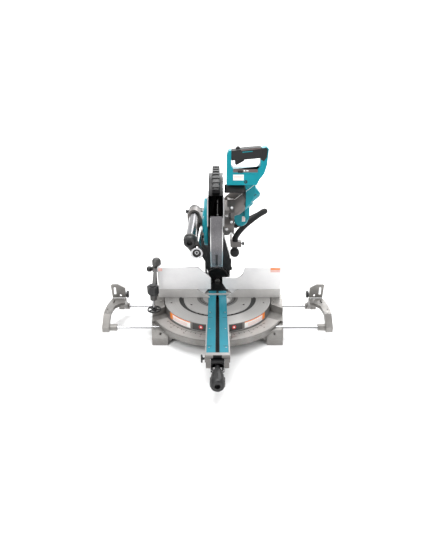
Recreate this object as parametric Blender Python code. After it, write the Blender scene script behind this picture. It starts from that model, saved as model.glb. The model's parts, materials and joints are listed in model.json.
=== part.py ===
"""Dual-bevel sliding compound mitre saw, 305 mm blade, head raised, side extensions pulled out.

Metres, +Z up, floor at Z = 0. Shapes are drawn in the saw's own coordinates, where the face of the fence is
Y = 0 and the turntable turns about X = Y = 0, and one empty moves them back by FENCE_Y.
"""

import math

import bmesh
import bpy
from mathutils import Matrix, Vector

# Driving dimensions
FENCE_Y = 0.112
TABLE_TOP = 0.095
TABLE_RADIUS = 0.216
TABLE_BOTTOM = 0.0604
RING_RADIUS = 0.273
RING_TOP = 0.0596
RING_BOTTOM = 0.038
GAP = 0.0003
ARM_HALF = 0.042
ARM_FRONT = -0.410
ARM_BOTTOM = 0.064
KERF_HALF = 0.0369
KERF_FRONT = -0.391
KERF_DEPTH = 0.0034
SLOT_HALF = 0.005
TRENCH_HALF = 0.014
TRENCH_FLOOR = 0.078
FENCE_TOP = 0.230
FENCE_LEFT = -0.2405
FENCE_RIGHT = 0.256
FENCE_LOW = 0.133
FLANGE_HALF = 0.055
FLANGE_FRONT = 0.160
FLANGE_BACK = 0.178
LOWER_FLANGE = 0.032
ARBOR_Y = -0.060
ARBOR_Z = 0.440
BLADE_RADIUS = 0.1525
CASE_RADIUS = 0.176
CASE_LEFT = -0.034
CASE_RIGHT = 0.0222
CASE_WALL = 0.003
GUARD_RADIUS = 0.168
PIVOT_Y = 0.175
PIVOT_Z = 0.335
UPPER_RAIL = (-0.095, 0.413, 0.0175)
LOWER_RAIL = (-0.072, 0.370, 0.0135)
RAIL_FRONT = -0.186
UPPER_BACK = 0.181
LOWER_BACK = 0.300
ROD_RADIUS = 0.006
ROD_Z = 0.047
ROD_FRONT_Y = -0.154
ROD_REAR_Y = 0.015
VISE_X = -0.252
VISE_Y = 0.020
PAD_X = -0.246
PAD_Y = -0.105
HANDLE_BACK = -0.132
HANDLE_FRONT = -0.170
MOTOR_TILT = math.radians(38)
MOTOR_START = (0.064, -0.035, 0.502)

COLOURS = {
    "teal_paint": ((0.0, 0.27, 0.31), 0.4, 0.0),
    "cast_aluminium": ((0.33, 0.33, 0.33), 0.5, 0.8),
    "silver_aluminium": ((0.72, 0.72, 0.73), 0.3, 0.9),
    "steel": ((0.6, 0.6, 0.6), 0.25, 1.0),
    "chrome": ((0.8, 0.8, 0.8), 0.08, 1.0),
    "black_plastic": ((0.02, 0.02, 0.02), 0.5, 0.0),
    "black_paint": ((0.025, 0.025, 0.025), 0.45, 0.0),
    "rubber": ((0.03, 0.03, 0.03), 0.8, 0.0),
    "smoke_guard": ((0.16, 0.16, 0.17), 0.35, 0.0),
}


def clear_scene():
    """Remove whatever the scene holds."""
    for obj in list(bpy.data.objects):
        bpy.data.objects.remove(obj, do_unlink=True)


def material(name):
    """The named finish, made once."""
    found = bpy.data.materials.get(name)
    if found:
        return found
    colour, roughness, metallic = COLOURS[name]
    made = bpy.data.materials.new(name)
    made.use_nodes = True
    shader = made.node_tree.nodes["Principled BSDF"]
    shader.inputs["Base Color"].default_value = (*colour, 1.0)
    shader.inputs["Roughness"].default_value = roughness
    shader.inputs["Metallic"].default_value = metallic
    return made


def arc(centre_u, centre_v, radius, start, end, steps):
    """Points along a circular arc, angles in degrees."""
    angles = [math.radians(start + (end - start) * i / steps) for i in range(steps + 1)]
    return [(centre_u + radius * math.cos(a), centre_v + radius * math.sin(a)) for a in angles]


def mirrored(points):
    """The same outline on the other side of U = 0, in reverse order."""
    return [(-u, v) for u, v in reversed(points)]


def to_axis(axis, u, v, w):
    """A point from outline coordinates (u, v) at height w along the named axis."""
    return {"X": (w, u, v), "Y": (u, w, v), "Z": (u, v, w)}[axis]


def face_out(bm):
    """Turn every face of a closed shape outwards."""
    bmesh.ops.recalc_face_normals(bm, faces=bm.faces)
    if bm.calc_volume(signed=True) < 0:
        bmesh.ops.reverse_faces(bm, faces=bm.faces)
    return bm


def prism(outline, axis, low, high):
    """An outline pulled along an axis. X takes (Y, Z) outlines, Y takes (X, Z) and Z takes (X, Y)."""
    bm = bmesh.new()
    face = bm.faces.new([bm.verts.new(to_axis(axis, u, v, low)) for u, v in outline])
    pulled = bmesh.ops.extrude_face_region(bm, geom=[face])
    moved = [item for item in pulled["geom"] if isinstance(item, bmesh.types.BMVert)]
    bmesh.ops.translate(bm, verts=moved, vec=Vector(to_axis(axis, 0, 0, high - low)))
    return face_out(bm)


def box(x, y, z):
    """A block between two corners, each argument a (low, high) pair."""
    return prism([(x[0], y[0]), (x[1], y[0]), (x[1], y[1]), (x[0], y[1])], "Z", *z)


def turned(profile, axis, centre, steps=24, start=0.0, sweep=360.0):
    """A closed (radius, height) profile spun about an axis through centre."""
    bm = bmesh.new()
    verts = [bm.verts.new((r, 0, h)) for r, h in profile]
    edges = [bm.edges.new((a, b)) for a, b in zip(verts, verts[1:] + verts[:1])]
    full = sweep >= 360.0
    cap = None if full else bm.faces.new(verts)
    geometry = verts + edges + ([cap] if cap else [])
    if start:
        turn = Matrix.Rotation(math.radians(start), 3, "Z")
        bmesh.ops.rotate(bm, verts=verts, cent=(0, 0, 0), matrix=turn)
    bmesh.ops.spin(bm, geom=geometry, cent=(0, 0, 0), axis=(0, 0, 1), angle=math.radians(sweep), steps=steps,
                   use_merge=full)
    bmesh.ops.remove_doubles(bm, verts=bm.verts, dist=1e-6)
    along = {"X": Matrix(((0, 0, 1, 0), (1, 0, 0, 0), (0, 1, 0, 0), (0, 0, 0, 1))),
             "Y": Matrix(((0, 1, 0, 0), (0, 0, 1, 0), (1, 0, 0, 0), (0, 0, 0, 1))), "Z": Matrix.Identity(4)}[axis]
    bm.transform(Matrix.Translation(centre) @ along)
    return face_out(bm)


def rod(radius, axis, centre, low, high, steps=20):
    """A plain cylinder along an axis; centre holds the other two coordinates."""
    place = to_axis(axis, *centre, 0)
    return turned([(0, low), (radius, low), (radius, high), (0, high)], axis, place, steps)


def ring_prism(inner, outer, low, high, start, sweep, steps):
    """A flat ring sector about the turntable's axis."""
    profile = [(inner, low), (outer, low), (outer, high), (inner, high)]
    return turned(profile, "Z", (0, 0, 0), steps, start, sweep)


def rotated(bm, angle, axis, centre):
    """The shape turned about an axis through centre."""
    there = Matrix.Translation(centre)
    bm.transform(there @ Matrix.Rotation(angle, 4, axis) @ there.inverted())
    return bm


def across(bm):
    """The mirror image on the other side of X = 0."""
    bmesh.ops.scale(bm, vec=(-1, 1, 1), verts=bm.verts)
    return face_out(bm)


class Assembly:
    """Places each piece under the empty that stands on its joint's axis."""

    def __init__(self):
        self.pivots = {}

    def pivot(self, name, at, parent=None):
        """An empty on a joint's axis, or at the saw's own origin."""
        empty = bpy.data.objects.new(name, None)
        bpy.context.scene.collection.objects.link(empty)
        above = self.pivots[parent][1] if parent else Vector((0, 0, 0))
        empty.parent = self.pivots[parent][0] if parent else None
        empty.location = Vector(at) - above if parent else Vector((0, FENCE_Y, 0))
        self.pivots[name] = (empty, Vector(at))

    def hang(self, obj, pivot):
        """Parent an object to an empty, keeping the saw coordinates its mesh is drawn in."""
        empty, at = self.pivots[pivot]
        obj.parent = empty
        obj.matrix_parent_inverse = Matrix.Translation(-at)

    def helper(self, bm, pivot):
        """A hidden shape for a Boolean."""
        mesh = bpy.data.meshes.new("helper")
        bm.to_mesh(mesh)
        bm.free()
        obj = bpy.data.objects.new("helper", mesh)
        bpy.context.scene.collection.objects.link(obj)
        self.hang(obj, pivot)
        obj.hide_render = True
        obj.display_type = "WIRE"
        return obj

    def boolean(self, obj, other, operation):
        """Add a Boolean modifier."""
        modifier = obj.modifiers.new(operation.title(), "BOOLEAN")
        modifier.operation = operation
        modifier.solver = "EXACT"
        modifier.object = other

    def piece(self, name, pivot, finish, shape, add=(), common=(), cut=()):
        """One named solid: a shape with others added, kept in common with others, and cut by others."""
        mesh = bpy.data.meshes.new(name)
        shape.to_mesh(mesh)
        shape.free()
        mesh.shade_smooth()
        mesh.set_sharp_from_angle(angle=math.radians(35))
        mesh.materials.append(material(finish))
        obj = bpy.data.objects.new(name, mesh)
        bpy.context.scene.collection.objects.link(obj)
        self.hang(obj, pivot)
        for other in common:
            self.boolean(obj, self.helper(other, pivot), "INTERSECT")
        for other in add:
            self.boolean(obj, self.helper(other, pivot), "UNION")
        for other in cut:
            self.boolean(obj, self.helper(other, pivot), "DIFFERENCE")
        return obj


def make_pivots(saw):
    """One empty for each joint."""
    saw.pivot("base_origin", (0, 0, 0))
    saw.pivot("mitre_axis", (0, 0, 0), "base_origin")
    saw.pivot("bevel_axis", (0, 0, TABLE_TOP), "mitre_axis")
    saw.pivot("slide_axis", (UPPER_RAIL[0], 0, UPPER_RAIL[1]), "bevel_axis")
    saw.pivot("head_axis", (0, PIVOT_Y, PIVOT_Z), "slide_axis")
    saw.pivot("arbor_axis", (0, ARBOR_Y, ARBOR_Z), "head_axis")
    saw.pivot("vise_axis", (VISE_X, VISE_Y, 0.2), "base_origin")


# Base

def wing_side():
    """Side profile of a wing from its front foot to its rear foot."""
    return [(-0.205, 0), (-0.132, 0), (-0.120, 0.034), (0.060, 0.034), (0.070, 0), (0.128, 0),
            (0.128, 0.058), (0.052, RING_TOP), (0.040, TABLE_TOP), (-0.045, TABLE_TOP), (-0.078, 0.088),
            (-0.092, 0.072), (-0.100, 0.0590), (-0.168, 0.0590), (-0.186, 0.044), (-0.205, 0.028)]


def wing(side):
    """A wing block, tapering towards the front in plan."""
    half = prism(wing_side(), "X", 0.1862, 0.270)
    outer = [(0.246, -0.206), (0.252, -0.150), (0.264, -0.020), (0.264, 0.130), (0.300, 0.130), (0.300, -0.206)]
    waste = prism(outer, "Z", -0.01, 0.2)
    return (across(half), across(waste)) if side < 0 else (half, waste)


def base_casting(saw):
    """Flat casting under the turntable, with a raised wing and two feet on each side."""
    front = arc(0, 0, RING_RADIUS, -134, -46, 36)
    side = [(0.250, -0.165), (0.264, -0.020), (0.264, 0.114), (0.250, 0.128)]
    outline = mirrored(side) + front + side
    plate = prism(outline, "Z", RING_BOTTOM, RING_TOP)
    wings = [wing(side) for side in (1, -1)]
    gussets = []
    for low, high in ((-0.190, -0.134), (0.072, 0.127)):
        gusset = [(0.1868, 0.004), (0.1868, 0.0385), (0.145, 0.0385)]
        gussets += [prism(gusset, "Y", low, high), across(prism(gusset, "Y", low, high))]
    well = rod(TABLE_RADIUS + 0.0035, "Z", (0, 0), RING_TOP, 0.2, 64)
    cuts = [waste for _, waste in wings] + [well]
    for angle, reach in ((60, 0.0615), (-60, 0.0450)):
        relief = box((-0.0450, reach), (-0.330, -0.200), (0.0598, 0.2))
        cuts.append(rotated(relief, math.radians(angle), "Z", (0, 0, 0)))
    cuts.append(ring_prism(RING_RADIUS + 0.0005, 0.2995, 0.050, 0.2, -153, 126, 32))
    for side in (1, -1):
        for y in (ROD_FRONT_Y, ROD_REAR_Y):
            low, high = sorted((side * 0.050, side * 0.300))
            cuts.append(rod(ROD_RADIUS + 0.0005, "X", (y, ROD_Z), low, high, 16))
    cuts.append(rod(0.0067, "Z", (VISE_X, VISE_Y), 0.062, 0.2, 16))
    cuts.append(rod(0.0123, "Z", (0, 0), 0, 0.2, 20))
    for x in (-0.215, 0.215):
        for y in (-0.190, 0.100):
            cuts.append(rod(0.0045, "Z", (x, y), 0, 0.2, 12))
    saw.piece("base_casting", "base_origin", "cast_aluminium", plate, [half for half, _ in wings] + gussets, (), cuts)


def base_trim(saw):
    """Mitre scale plate and the bolt that the turntable turns on."""
    plate = ring_prism(0.2215, 0.2690, RING_TOP + GAP, RING_TOP + 0.0015, -152, 124, 40)
    saw.piece("mitre_scale_plate", "base_origin", "silver_aluminium", plate)
    bolt = [(0, 0.030), (0.020, 0.030), (0.020, RING_BOTTOM - GAP), (0.012, RING_BOTTOM - GAP), (0.012, 0.074),
            (0, 0.074)]
    saw.piece("pivot_bolt", "base_origin", "steel", turned(bolt, "Z", (0, 0, 0), 20))


def lower_fence(saw):
    """Fixed fence: a face plate on each side of the blade, joined by a low bridge behind it."""
    foot = TABLE_TOP + GAP
    left = prism([(FENCE_LEFT, foot), (-0.0320, foot), (-0.0850, FENCE_LOW), (FENCE_LEFT, FENCE_LOW)], "Y", 0, 0.007)
    right = prism([(0.036, foot), (FENCE_RIGHT, foot), (FENCE_RIGHT, FENCE_LOW), (0.085, FENCE_LOW)], "Y", 0, 0.007)
    flange = box((FENCE_LEFT, FENCE_RIGHT), (0.0202, 0.026), (foot, 0.102))
    shoes = [box((FENCE_LEFT, -0.045), (0.002, 0.024), (foot, 0.1006)),
             box((0.050, FENCE_RIGHT), (0.002, 0.024), (foot, 0.1006))]
    bosses = [box((x - 0.010, x + 0.010), (0.0146, 0.0255), (foot + 0.004, 0.126)) for x in (-0.215, 0.215)]
    holes = [rod(0.0042, "Y", (x, 0.115), 0.0100, 0.04, 12) for x in (-0.215, 0.215)]
    saw.piece("lower_fence", "base_origin", "silver_aluminium", left, [right, *shoes, flange, *bosses], (), holes)


def sub_fence(saw, side):
    """Tall sliding fence with a tongue that runs behind the fixed fence."""
    seat = FENCE_LOW + 0.0004
    if side == "left":
        face = [(FENCE_LEFT, seat), (-0.0270, seat), (-0.0270, 0.181), (-0.077, FENCE_TOP), (FENCE_LEFT, FENCE_TOP)]
        tongue = [(-0.236, 0.103), (-0.0600, 0.103), (-0.0300, 0.140), (-0.0300, 0.152), (-0.236, 0.152)]
    else:
        bend = arc(0.073, 0.215, 0.032, -90, -20, 6)
        face = [(0.036, seat), (FENCE_RIGHT, seat), (FENCE_RIGHT, FENCE_TOP), (0.110, FENCE_TOP), *bend[::-1],
                (0.020, 0.183), (0.020, 0.160)]
        tongue = [(0.064, 0.103), (0.250, 0.103), (0.250, 0.152), (0.040, 0.152), (0.040, 0.138)]
    plate = prism(face, "Y", 0, 0.010)
    rib = prism(tongue, "Y", 0.0078, 0.0138)
    saw.piece(f"sub_fence_{side}", "base_origin", "silver_aluminium", plate, [rib])
    x = -0.215 if side == "left" else 0.215
    knob = [(0, 0.0142), (0.0038, 0.0142), (0.0038, 0.0258), (0.011, 0.0258), (0.012, 0.030), (0.011, 0.042),
            (0, 0.042)]
    saw.piece(f"fence_clamp_{side}", "base_origin", "black_plastic", turned(knob, "Y", (x, 0, 0.115), 12))


# Turntable

def turntable(saw):
    """Round table with a front arm and a rear flange that carries the bevel pivot."""
    disc = rod(TABLE_RADIUS, "Z", (0, 0), TABLE_BOTTOM, TABLE_TOP, 72)
    top = TABLE_TOP
    profile = [(-0.190, top), (-0.190, ARM_BOTTOM), (-0.396, ARM_BOTTOM), (-0.396, 0.041), (-0.404, 0.041),
               (-0.404, 0.079), (-0.4085, 0.083), (ARM_FRONT, 0.087), (-0.4085, 0.092), (-0.404, top)]
    arm = prism(profile, "X", -ARM_HALF, ARM_HALF)
    flange = [(FLANGE_HALF, TABLE_BOTTOM), *arc(0, top, FLANGE_HALF, 0, 180, 20), (-FLANGE_HALF, TABLE_BOTTOM)]
    bevel = prism(flange, "Y", FLANGE_FRONT, FLANGE_BACK)
    cheeks = [box((sign * 0.0425 - 0.0035, sign * 0.0425 + 0.0035), (-0.42, -0.395), (0, ARM_BOTTOM)) for sign in (-1, 1)]
    kerf = box((-KERF_HALF - GAP, KERF_HALF + GAP), (KERF_FRONT - GAP, 0.004), (top - KERF_DEPTH, 0.2))
    trench = box((-TRENCH_HALF, TRENCH_HALF), (KERF_FRONT + 0.004, 0.022), (TRENCH_FLOOR, 0.2))
    hollow = box((-0.036, 0.036), (-0.3955, -0.222), (0, 0.0745))
    window = box((-0.0235, 0.0235), (-0.42, -0.39), (0, 0.0795))
    notch = box((-0.068, 0.068), (FLANGE_BACK, 0.3), (0, 0.2))
    groove = ring_prism(0.1465, 0.1555, top - 0.006, 0.2, 0, 360, 48)
    fine = ring_prism(0.0695, 0.0735, top - 0.003, 0.2, 0, 360, 32)
    hub = rod(0.0125, "Z", (0, 0), 0, 0.0748, 20)
    axle = rod(0.0123, "Y", (0, top), 0.140, 0.2, 20)
    peep = prism([(-0.049, 0.146), (-0.045, 0.104), (-0.027, 0.104)], "Y", 0.1, 0.4)
    holes = [rod(0.0045, "Z", (s * 0.104, -0.060 + 0.0 * s), 0.085, 0.2, 12) for s in (-1, 1)]
    holes += [rod(0.0035, "Z", (s * 0.185, -0.045), 0.085, 0.2, 12) for s in (-1, 1)]
    cuts = [kerf, trench, hollow, window, notch, groove, fine, hub, axle, peep, *cheeks, *holes]
    saw.piece("turntable", "mitre_axis", "cast_aluminium", disc, [arm, bevel], (), cuts)


def table_trim(saw):
    """Kerf boards, pointer and the bevel pivot shaft."""
    for side, sign in (("left", -1), ("right", 1)):
        low, high = sorted((sign * SLOT_HALF, sign * KERF_HALF))
        board = box((low, high), (KERF_FRONT, 0.0035), (TABLE_TOP - KERF_DEPTH + GAP, TABLE_TOP))
        screws = [rod(0.0030, "Z", (sign * 0.029, y), TABLE_TOP - 0.0015, 0.2, 10) for y in (-0.36, -0.24, -0.12)]
        saw.piece(f"kerf_board_{side}", "mitre_axis", "teal_paint", board, (), (), screws)
    pointer = prism([(0.0423, -0.228), (0.0590, -0.246), (0.0423, -0.264)], "Z", 0.0616, 0.0632)
    bracket = box((0.0423, 0.0470), (-0.258, -0.234), (0.0620, 0.0760))
    saw.piece("mitre_pointer", "mitre_axis", "steel", pointer, [bracket])
    shaft = [(0, 0.146), (0.012, 0.146), (0.012, 0.2302), (0.021, 0.2302), (0.021, 0.240), (0, 0.240)]
    saw.piece("bevel_pivot_shaft", "mitre_axis", "steel", turned(shaft, "Y", (0, 0, TABLE_TOP), 20))


def mitre_controls(saw):
    """Lock grip with its rod, detent lever, and the thumb screw on the arm's left side."""
    grip = [(0, -0.2745), (0.004, -0.2745), (0.004, -0.412), (0.009, -0.418), (0.0095, -0.440), (0.015, -0.448),
            (0.0205, -0.470), (0.0240, -0.495), (0.0245, -0.512), (0.0215, -0.521), (0.0180, -0.524), (0.009, -0.524),
            (0.009, -0.512), (0, -0.512)]
    saw.piece("mitre_grip", "mitre_axis", "black_plastic", turned(grip, "Y", (0, 0, 0.060), 24))
    lever = box((-0.0225, 0.0225), (-0.424, -0.3990), (0.0725, 0.0785))
    legs = [box((s * 0.0225 - 0.0045 * (s > 0) * 2, s * 0.0225 + 0.0045 * (s < 0) * 2), (-0.424, -0.4045),
                (0.045, 0.0735)) for s in (-1, 1)]
    wires = [rod(0.0030, "Y", (s * 0.0195, 0.060), -0.449, -0.420, 10) for s in (-1, 1)]
    saw.piece("detent_lever", "mitre_axis", "black_plastic", lever, [*legs, *wires])
    screw = [(0, -0.0426), (0.004, -0.0426), (0.004, -0.0485), (0.007, -0.0485), (0.007, -0.055), (0, -0.055)]
    bar = box((-0.0550, -0.0495), (-0.4055, -0.3955), (0.0640, 0.0900))
    stem = turned(screw, "X", (0, -0.4005, 0.077), 14)
    saw.piece("side_thumb_screw", "mitre_axis", "black_plastic", stem, [bar])


# Side extensions

def holder(saw, side):
    """Extension casting with two guide rods, a flip-up stop plate and its knob."""

    def flip(bm):
        return across(bm) if side == "left" else bm

    plan = [(0.372, -0.0045), (0.372, -0.040), (0.385, -0.046), (0.406, -0.069), (0.412, -0.117), (0.424, -0.132),
            (0.440, -0.112), (0.439, -0.060), (0.430, -0.0045)]
    top = prism(plan, "Z", 0.081, TABLE_TOP)
    leg = prism([(-0.104, TABLE_TOP), (-0.104, 0.081), (-0.140, 0.062), (-0.145, 0.036), (-0.172, 0.036),
                 (-0.174, 0.056), (-0.150, 0.076), (-0.132, 0.0940)], "X", 0.4125, 0.4385)
    front_boss = rod(0.0130, "X", (ROD_FRONT_Y, ROD_Z), 0.385, 0.4385, 20)
    rear_leg = prism([(-0.060, 0.085), (-0.060, 0.072), (-0.012, 0.058), (0.006, 0.038), (0.026, 0.038),
                      (0.027, 0.055), (-0.003, 0.079), (-0.0045, 0.085)], "X", 0.3721, 0.394)
    rear_boss = rod(0.0130, "X", (ROD_REAR_Y, ROD_Z), 0.366, 0.3945, 20)
    cuts = [rod(ROD_RADIUS + 0.0002, "X", (ROD_FRONT_Y, ROD_Z), 0.3, 0.425, 16),
            rod(ROD_RADIUS + 0.0002, "X", (ROD_REAR_Y, ROD_Z), 0.3, 0.388, 16),
            rod(0.0035, "Z", (0.430, -0.098), 0.05, 0.2, 12), rod(0.0030, "Z", (0.394, -0.030), 0.07, 0.2, 12),
            box((0.414, 0.420), (-0.050, -0.024), (0.05, 0.2))]
    saw.piece(f"extension_holder_{side}", "base_origin", "cast_aluminium", flip(top),
              [flip(leg), flip(front_boss), flip(rear_leg), flip(rear_boss)], (), [flip(cut) for cut in cuts])
    for end, y, reach in (("front", ROD_FRONT_Y, 0.4245), ("rear", ROD_REAR_Y, 0.3875)):
        guide = flip(rod(ROD_RADIUS, "X", (y, ROD_Z), 0.160, reach, 16))
        saw.piece(f"guide_rod_{end}_{side}", "base_origin", "chrome", guide)
    outline = [(0.375, 0.0955), (0.430, 0.0955), (0.433, 0.151), (0.428, 0.156), (0.403, 0.156), (0.375, 0.139)]
    plate = flip(prism(outline, "Y", -0.0035, 0.0035))
    slot = flip(box((0.4135, 0.4225), (-0.01, 0.01), (0.110, 0.142)))
    notch = flip(rod(0.0045, "Y", (0.396, 0.106), -0.01, 0.01, 14))
    saw.piece(f"stop_plate_{side}", "base_origin", "cast_aluminium", plate, (), (), [slot, notch])
    knob = [(0, 0.3745), (0.0030, 0.3745), (0.0030, 0.3720), (0.0130, 0.3720), (0.0140, 0.3680), (0.0130, 0.3625),
            (0, 0.3625)]
    saw.piece(f"stop_knob_{side}", "base_origin", "black_plastic", flip(turned(knob, "X", (0, 0, 0.1100), 16)))


# Vise

def vise(saw):
    """Hold-down vise: a rod in the left wing, a swinging arm, and a screw with a round pressure pad."""
    bar = rod(0.0063, "Z", (VISE_X, VISE_Y), 0.0625, 0.2150, 20)
    saw.piece("vise_rod", "base_origin", "black_paint", bar)
    profile = [(0.034, 0.205), (0.034, 0.226), (0.006, 0.226), (-0.090, 0.161), (-0.118, 0.161), (-0.118, 0.144),
               (-0.086, 0.144), (0.002, 0.205)]
    arm = prism(profile, "X", -0.2560, -0.2440)
    collar = rod(0.0118, "Z", (VISE_X - 0.0002, VISE_Y), 0.2045, 0.2255, 20)
    boss = rod(0.0130, "Z", (PAD_X, PAD_Y), 0.142, 0.163, 20)
    cuts = [rod(0.0066, "Z", (VISE_X, VISE_Y), 0.19, 0.2155, 20), rod(0.0056, "Z", (PAD_X, PAD_Y), 0.1, 0.3, 16),
            rod(0.0034, "X", (VISE_Y, 0.2145), -0.28, -0.2580, 12)]
    saw.piece("vise_arm", "vise_axis", "silver_aluminium", arm, [collar, boss], (), cuts)
    dome = [(0, 0.2263), (0.0070, 0.2263), (0.0070, 0.2315), (0.0170, 0.2325), (0.0185, 0.238), (0.0180, 0.252), (0.0120, 0.261), (0, 0.262)]
    saw.piece("vise_top_knob", "vise_axis", "black_plastic", turned(dome, "Z", (-0.2450, VISE_Y, 0), 20))
    wing_screw = [(0, -0.2592), (0.0031, -0.2592), (0.0031, -0.2645), (0.0075, -0.2645), (0.0115, -0.270),
                  (0.0115, -0.280), (0.0070, -0.286), (0, -0.286)]
    saw.piece("vise_thumb_screw", "vise_axis", "black_plastic", turned(wing_screw, "X", (0, VISE_Y, 0.2145), 16))
    lobes = [(0.0205 + 0.0020 * math.cos(6 * math.radians(a)), math.radians(a)) for a in range(0, 360, 12)]
    outline = [(PAD_X + r * math.cos(a), PAD_Y + r * math.sin(a)) for r, a in lobes]
    knob = prism(outline, "Z", 0.1680, 0.2000)
    stem = turned([(0, 0.1045), (0.0053, 0.1045), (0.0053, 0.1640), (0.0120, 0.1640), (0.0120, 0.2040), (0, 0.2040)],
                  "Z", (PAD_X, PAD_Y, 0), 20)
    saw.piece("vise_screw", "vise_axis", "black_plastic", knob, [stem])
    pad = turned([(0, TABLE_TOP + 0.0004), (0.0270, TABLE_TOP + 0.0004), (0.0270, 0.1010), (0.0110, 0.1010),
                  (0.0110, 0.1042), (0, 0.1042)], "Z", (PAD_X, PAD_Y, 0), 24)
    saw.piece("vise_pad", "vise_axis", "black_plastic", pad)


# Bevel arm

def rails(saw):
    """The two parallel slide rails."""
    x, z, radius = UPPER_RAIL
    saw.piece("rail_upper", "bevel_axis", "chrome", rod(radius, "Y", (x, z), RAIL_FRONT, UPPER_BACK, 28))
    x, z, radius = LOWER_RAIL
    end = [(0, LOWER_BACK), (radius, LOWER_BACK), (radius, RAIL_FRONT), (0.0225, RAIL_FRONT - GAP),
           (0.0230, -0.192), (0.0205, -0.1965), (0.0150, -0.1965), (0.0130, -0.190), (0, -0.190)]
    saw.piece("rail_lower", "bevel_axis", "chrome", turned(end, "Y", (x, 0, z), 28))


def around_rails(grow, low, high):
    """Block around both rails, grown by a margin."""
    ux, uz, ur = UPPER_RAIL
    lx, lz, lr = LOWER_RAIL
    lean = math.degrees(math.atan2(uz - lz, ux - lx))
    top = arc(ux, uz, ur + grow, lean - 90, lean + 90, 10)
    bottom = arc(lx, lz, lr + grow, lean + 90, lean + 270, 10)
    return prism(top + bottom, "Y", low, high)


def rail_bores(clearance):
    """Cutters for the two rails."""
    return [rod(r + clearance, "Y", (x, z), -0.5, 0.5, 28) for x, z, r in (UPPER_RAIL, LOWER_RAIL)]


def bevel_arm(saw):
    """Arm behind the table: it tilts on the bevel pivot and holds the rear ends of the rails."""
    low = arc(0, TABLE_TOP, LOWER_FLANGE, 180, 360, 12)
    outline = low + [(FLANGE_HALF, TABLE_TOP), (FLANGE_HALF, 0.200), (0.030, 0.288), (-0.100, 0.288),
                     (-0.080, 0.264), (-0.074, 0.215), (-FLANGE_HALF, 0.180), (-FLANGE_HALF, TABLE_TOP)]
    column = prism(outline, "Y", FLANGE_BACK + GAP, 0.230)
    spine = prism([(0.185, 0.200), (0.255, 0.225), (0.296, 0.285), (0.296, 0.335), (0.245, 0.335), (0.245, 0.288),
                   (0.200, 0.288)], "X", -0.080, 0.020)
    lower_seat = rod(0.0215, "Y", LOWER_RAIL[:2], 0.245, 0.296, 24)
    web = box((-0.0930, -0.0510), (0.245, 0.296), (0.300, 0.368))
    upper_seat = rod(0.0245, "Y", UPPER_RAIL[:2], 0.150, 0.180, 24)
    ear = prism([(0.1783, 0.264), (0.215, 0.264), (0.215, 0.330), (0.180, 0.415), (0.150, 0.415), (0.150, 0.390),
                 (0.1783, 0.320)], "X", -0.1250, -0.0990)
    shoulder = box((-0.1250, -0.070), (0.1783, 0.215), (0.264, 0.2885))
    axle = rod(0.0123, "Y", (0, TABLE_TOP), 0.15, 0.26, 20)
    peep = prism([(-0.049, 0.146), (-0.045, 0.104), (-0.027, 0.104)], "Y", 0.1, 0.4)
    cuts = [axle, peep, *rail_bores(0.0003)]
    saw.piece("bevel_arm", "bevel_axis", "black_paint", column, [spine, web, lower_seat, shoulder, ear, upper_seat], (), cuts)


def rail_front(saw):
    """Bracket that joins the rails' front ends, the bevel lock knob, and the bevel release lever."""
    bracket = around_rails(0.0055, -0.1840, -0.1700)
    saw.piece("rail_bracket", "bevel_axis", "black_plastic", bracket, (), (), rail_bores(0.0003))
    x, z, _ = UPPER_RAIL
    knob = [(0, -0.1865), (0.0195, -0.1865), (0.0205, -0.192), (0.0205, -0.204), (0.0180, -0.2095), (0.0100, -0.2095),
            (0.0090, -0.198), (0, -0.198)]
    saw.piece("bevel_lock_knob", "bevel_axis", "black_plastic", turned(knob, "Y", (x, 0, z), 20))
    lever = box((0.0555, 0.0620), (0.2170, 0.2290), (0.120, 0.175))
    hub = rod(0.0075, "X", (0.2230, 0.128), 0.0553, 0.0660, 16)
    saw.piece("bevel_release_lever", "bevel_axis", "black_plastic", lever, [hub])


# Carriage

def carriage(saw):
    """Carriage with a bearing sleeve on each rail and the lugs of the head pivot."""
    front, back = 0.096, 0.226
    sleeves = around_rails(0.0085, front, 0.146)
    lower_sleeve = rod(0.0220, "Y", LOWER_RAIL[:2], front + 0.002, back, 24)
    web = box((-0.0750, -0.0330), (0.150, 0.200), (0.313, 0.352))
    bar = box((-0.0500, 0.0600), (0.2000, back), (0.313, 0.345))
    lug = prism([*arc(PIVOT_Y, PIVOT_Z, 0.0220, 90, 270, 12), (0.215, 0.313), (0.215, 0.345)], "X", 0.0430, 0.0600)
    left_lug = prism([*arc(PIVOT_Y, PIVOT_Z, 0.0220, 90, 270, 12), (0.215, 0.313), (0.215, 0.345)], "X", -0.0500,
                     -0.0330)
    reach = box((0.0520, 0.0600), (0.0520, 0.180), (0.296, 0.330))
    shelf = box((0.0520, 0.0960), (0.0520, 0.0800), (0.296, 0.318))
    shaft = rod(0.0082, "X", (PIVOT_Y, PIVOT_Z), -0.1, 0.1, 20)
    pin_hole = rod(0.0042, "X", (0.0660, 0.3070), 0.066, 0.2, 12)
    cuts = [shaft, pin_hole, *rail_bores(0.0003), rod(0.0042, "X", (0.122, 0.425), -0.14, -0.1122, 12)]
    saw.piece("carriage", "slide_axis", "cast_aluminium", sleeves,
              [lower_sleeve, web, left_lug, bar, lug, reach, shelf], (), cuts)


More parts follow.
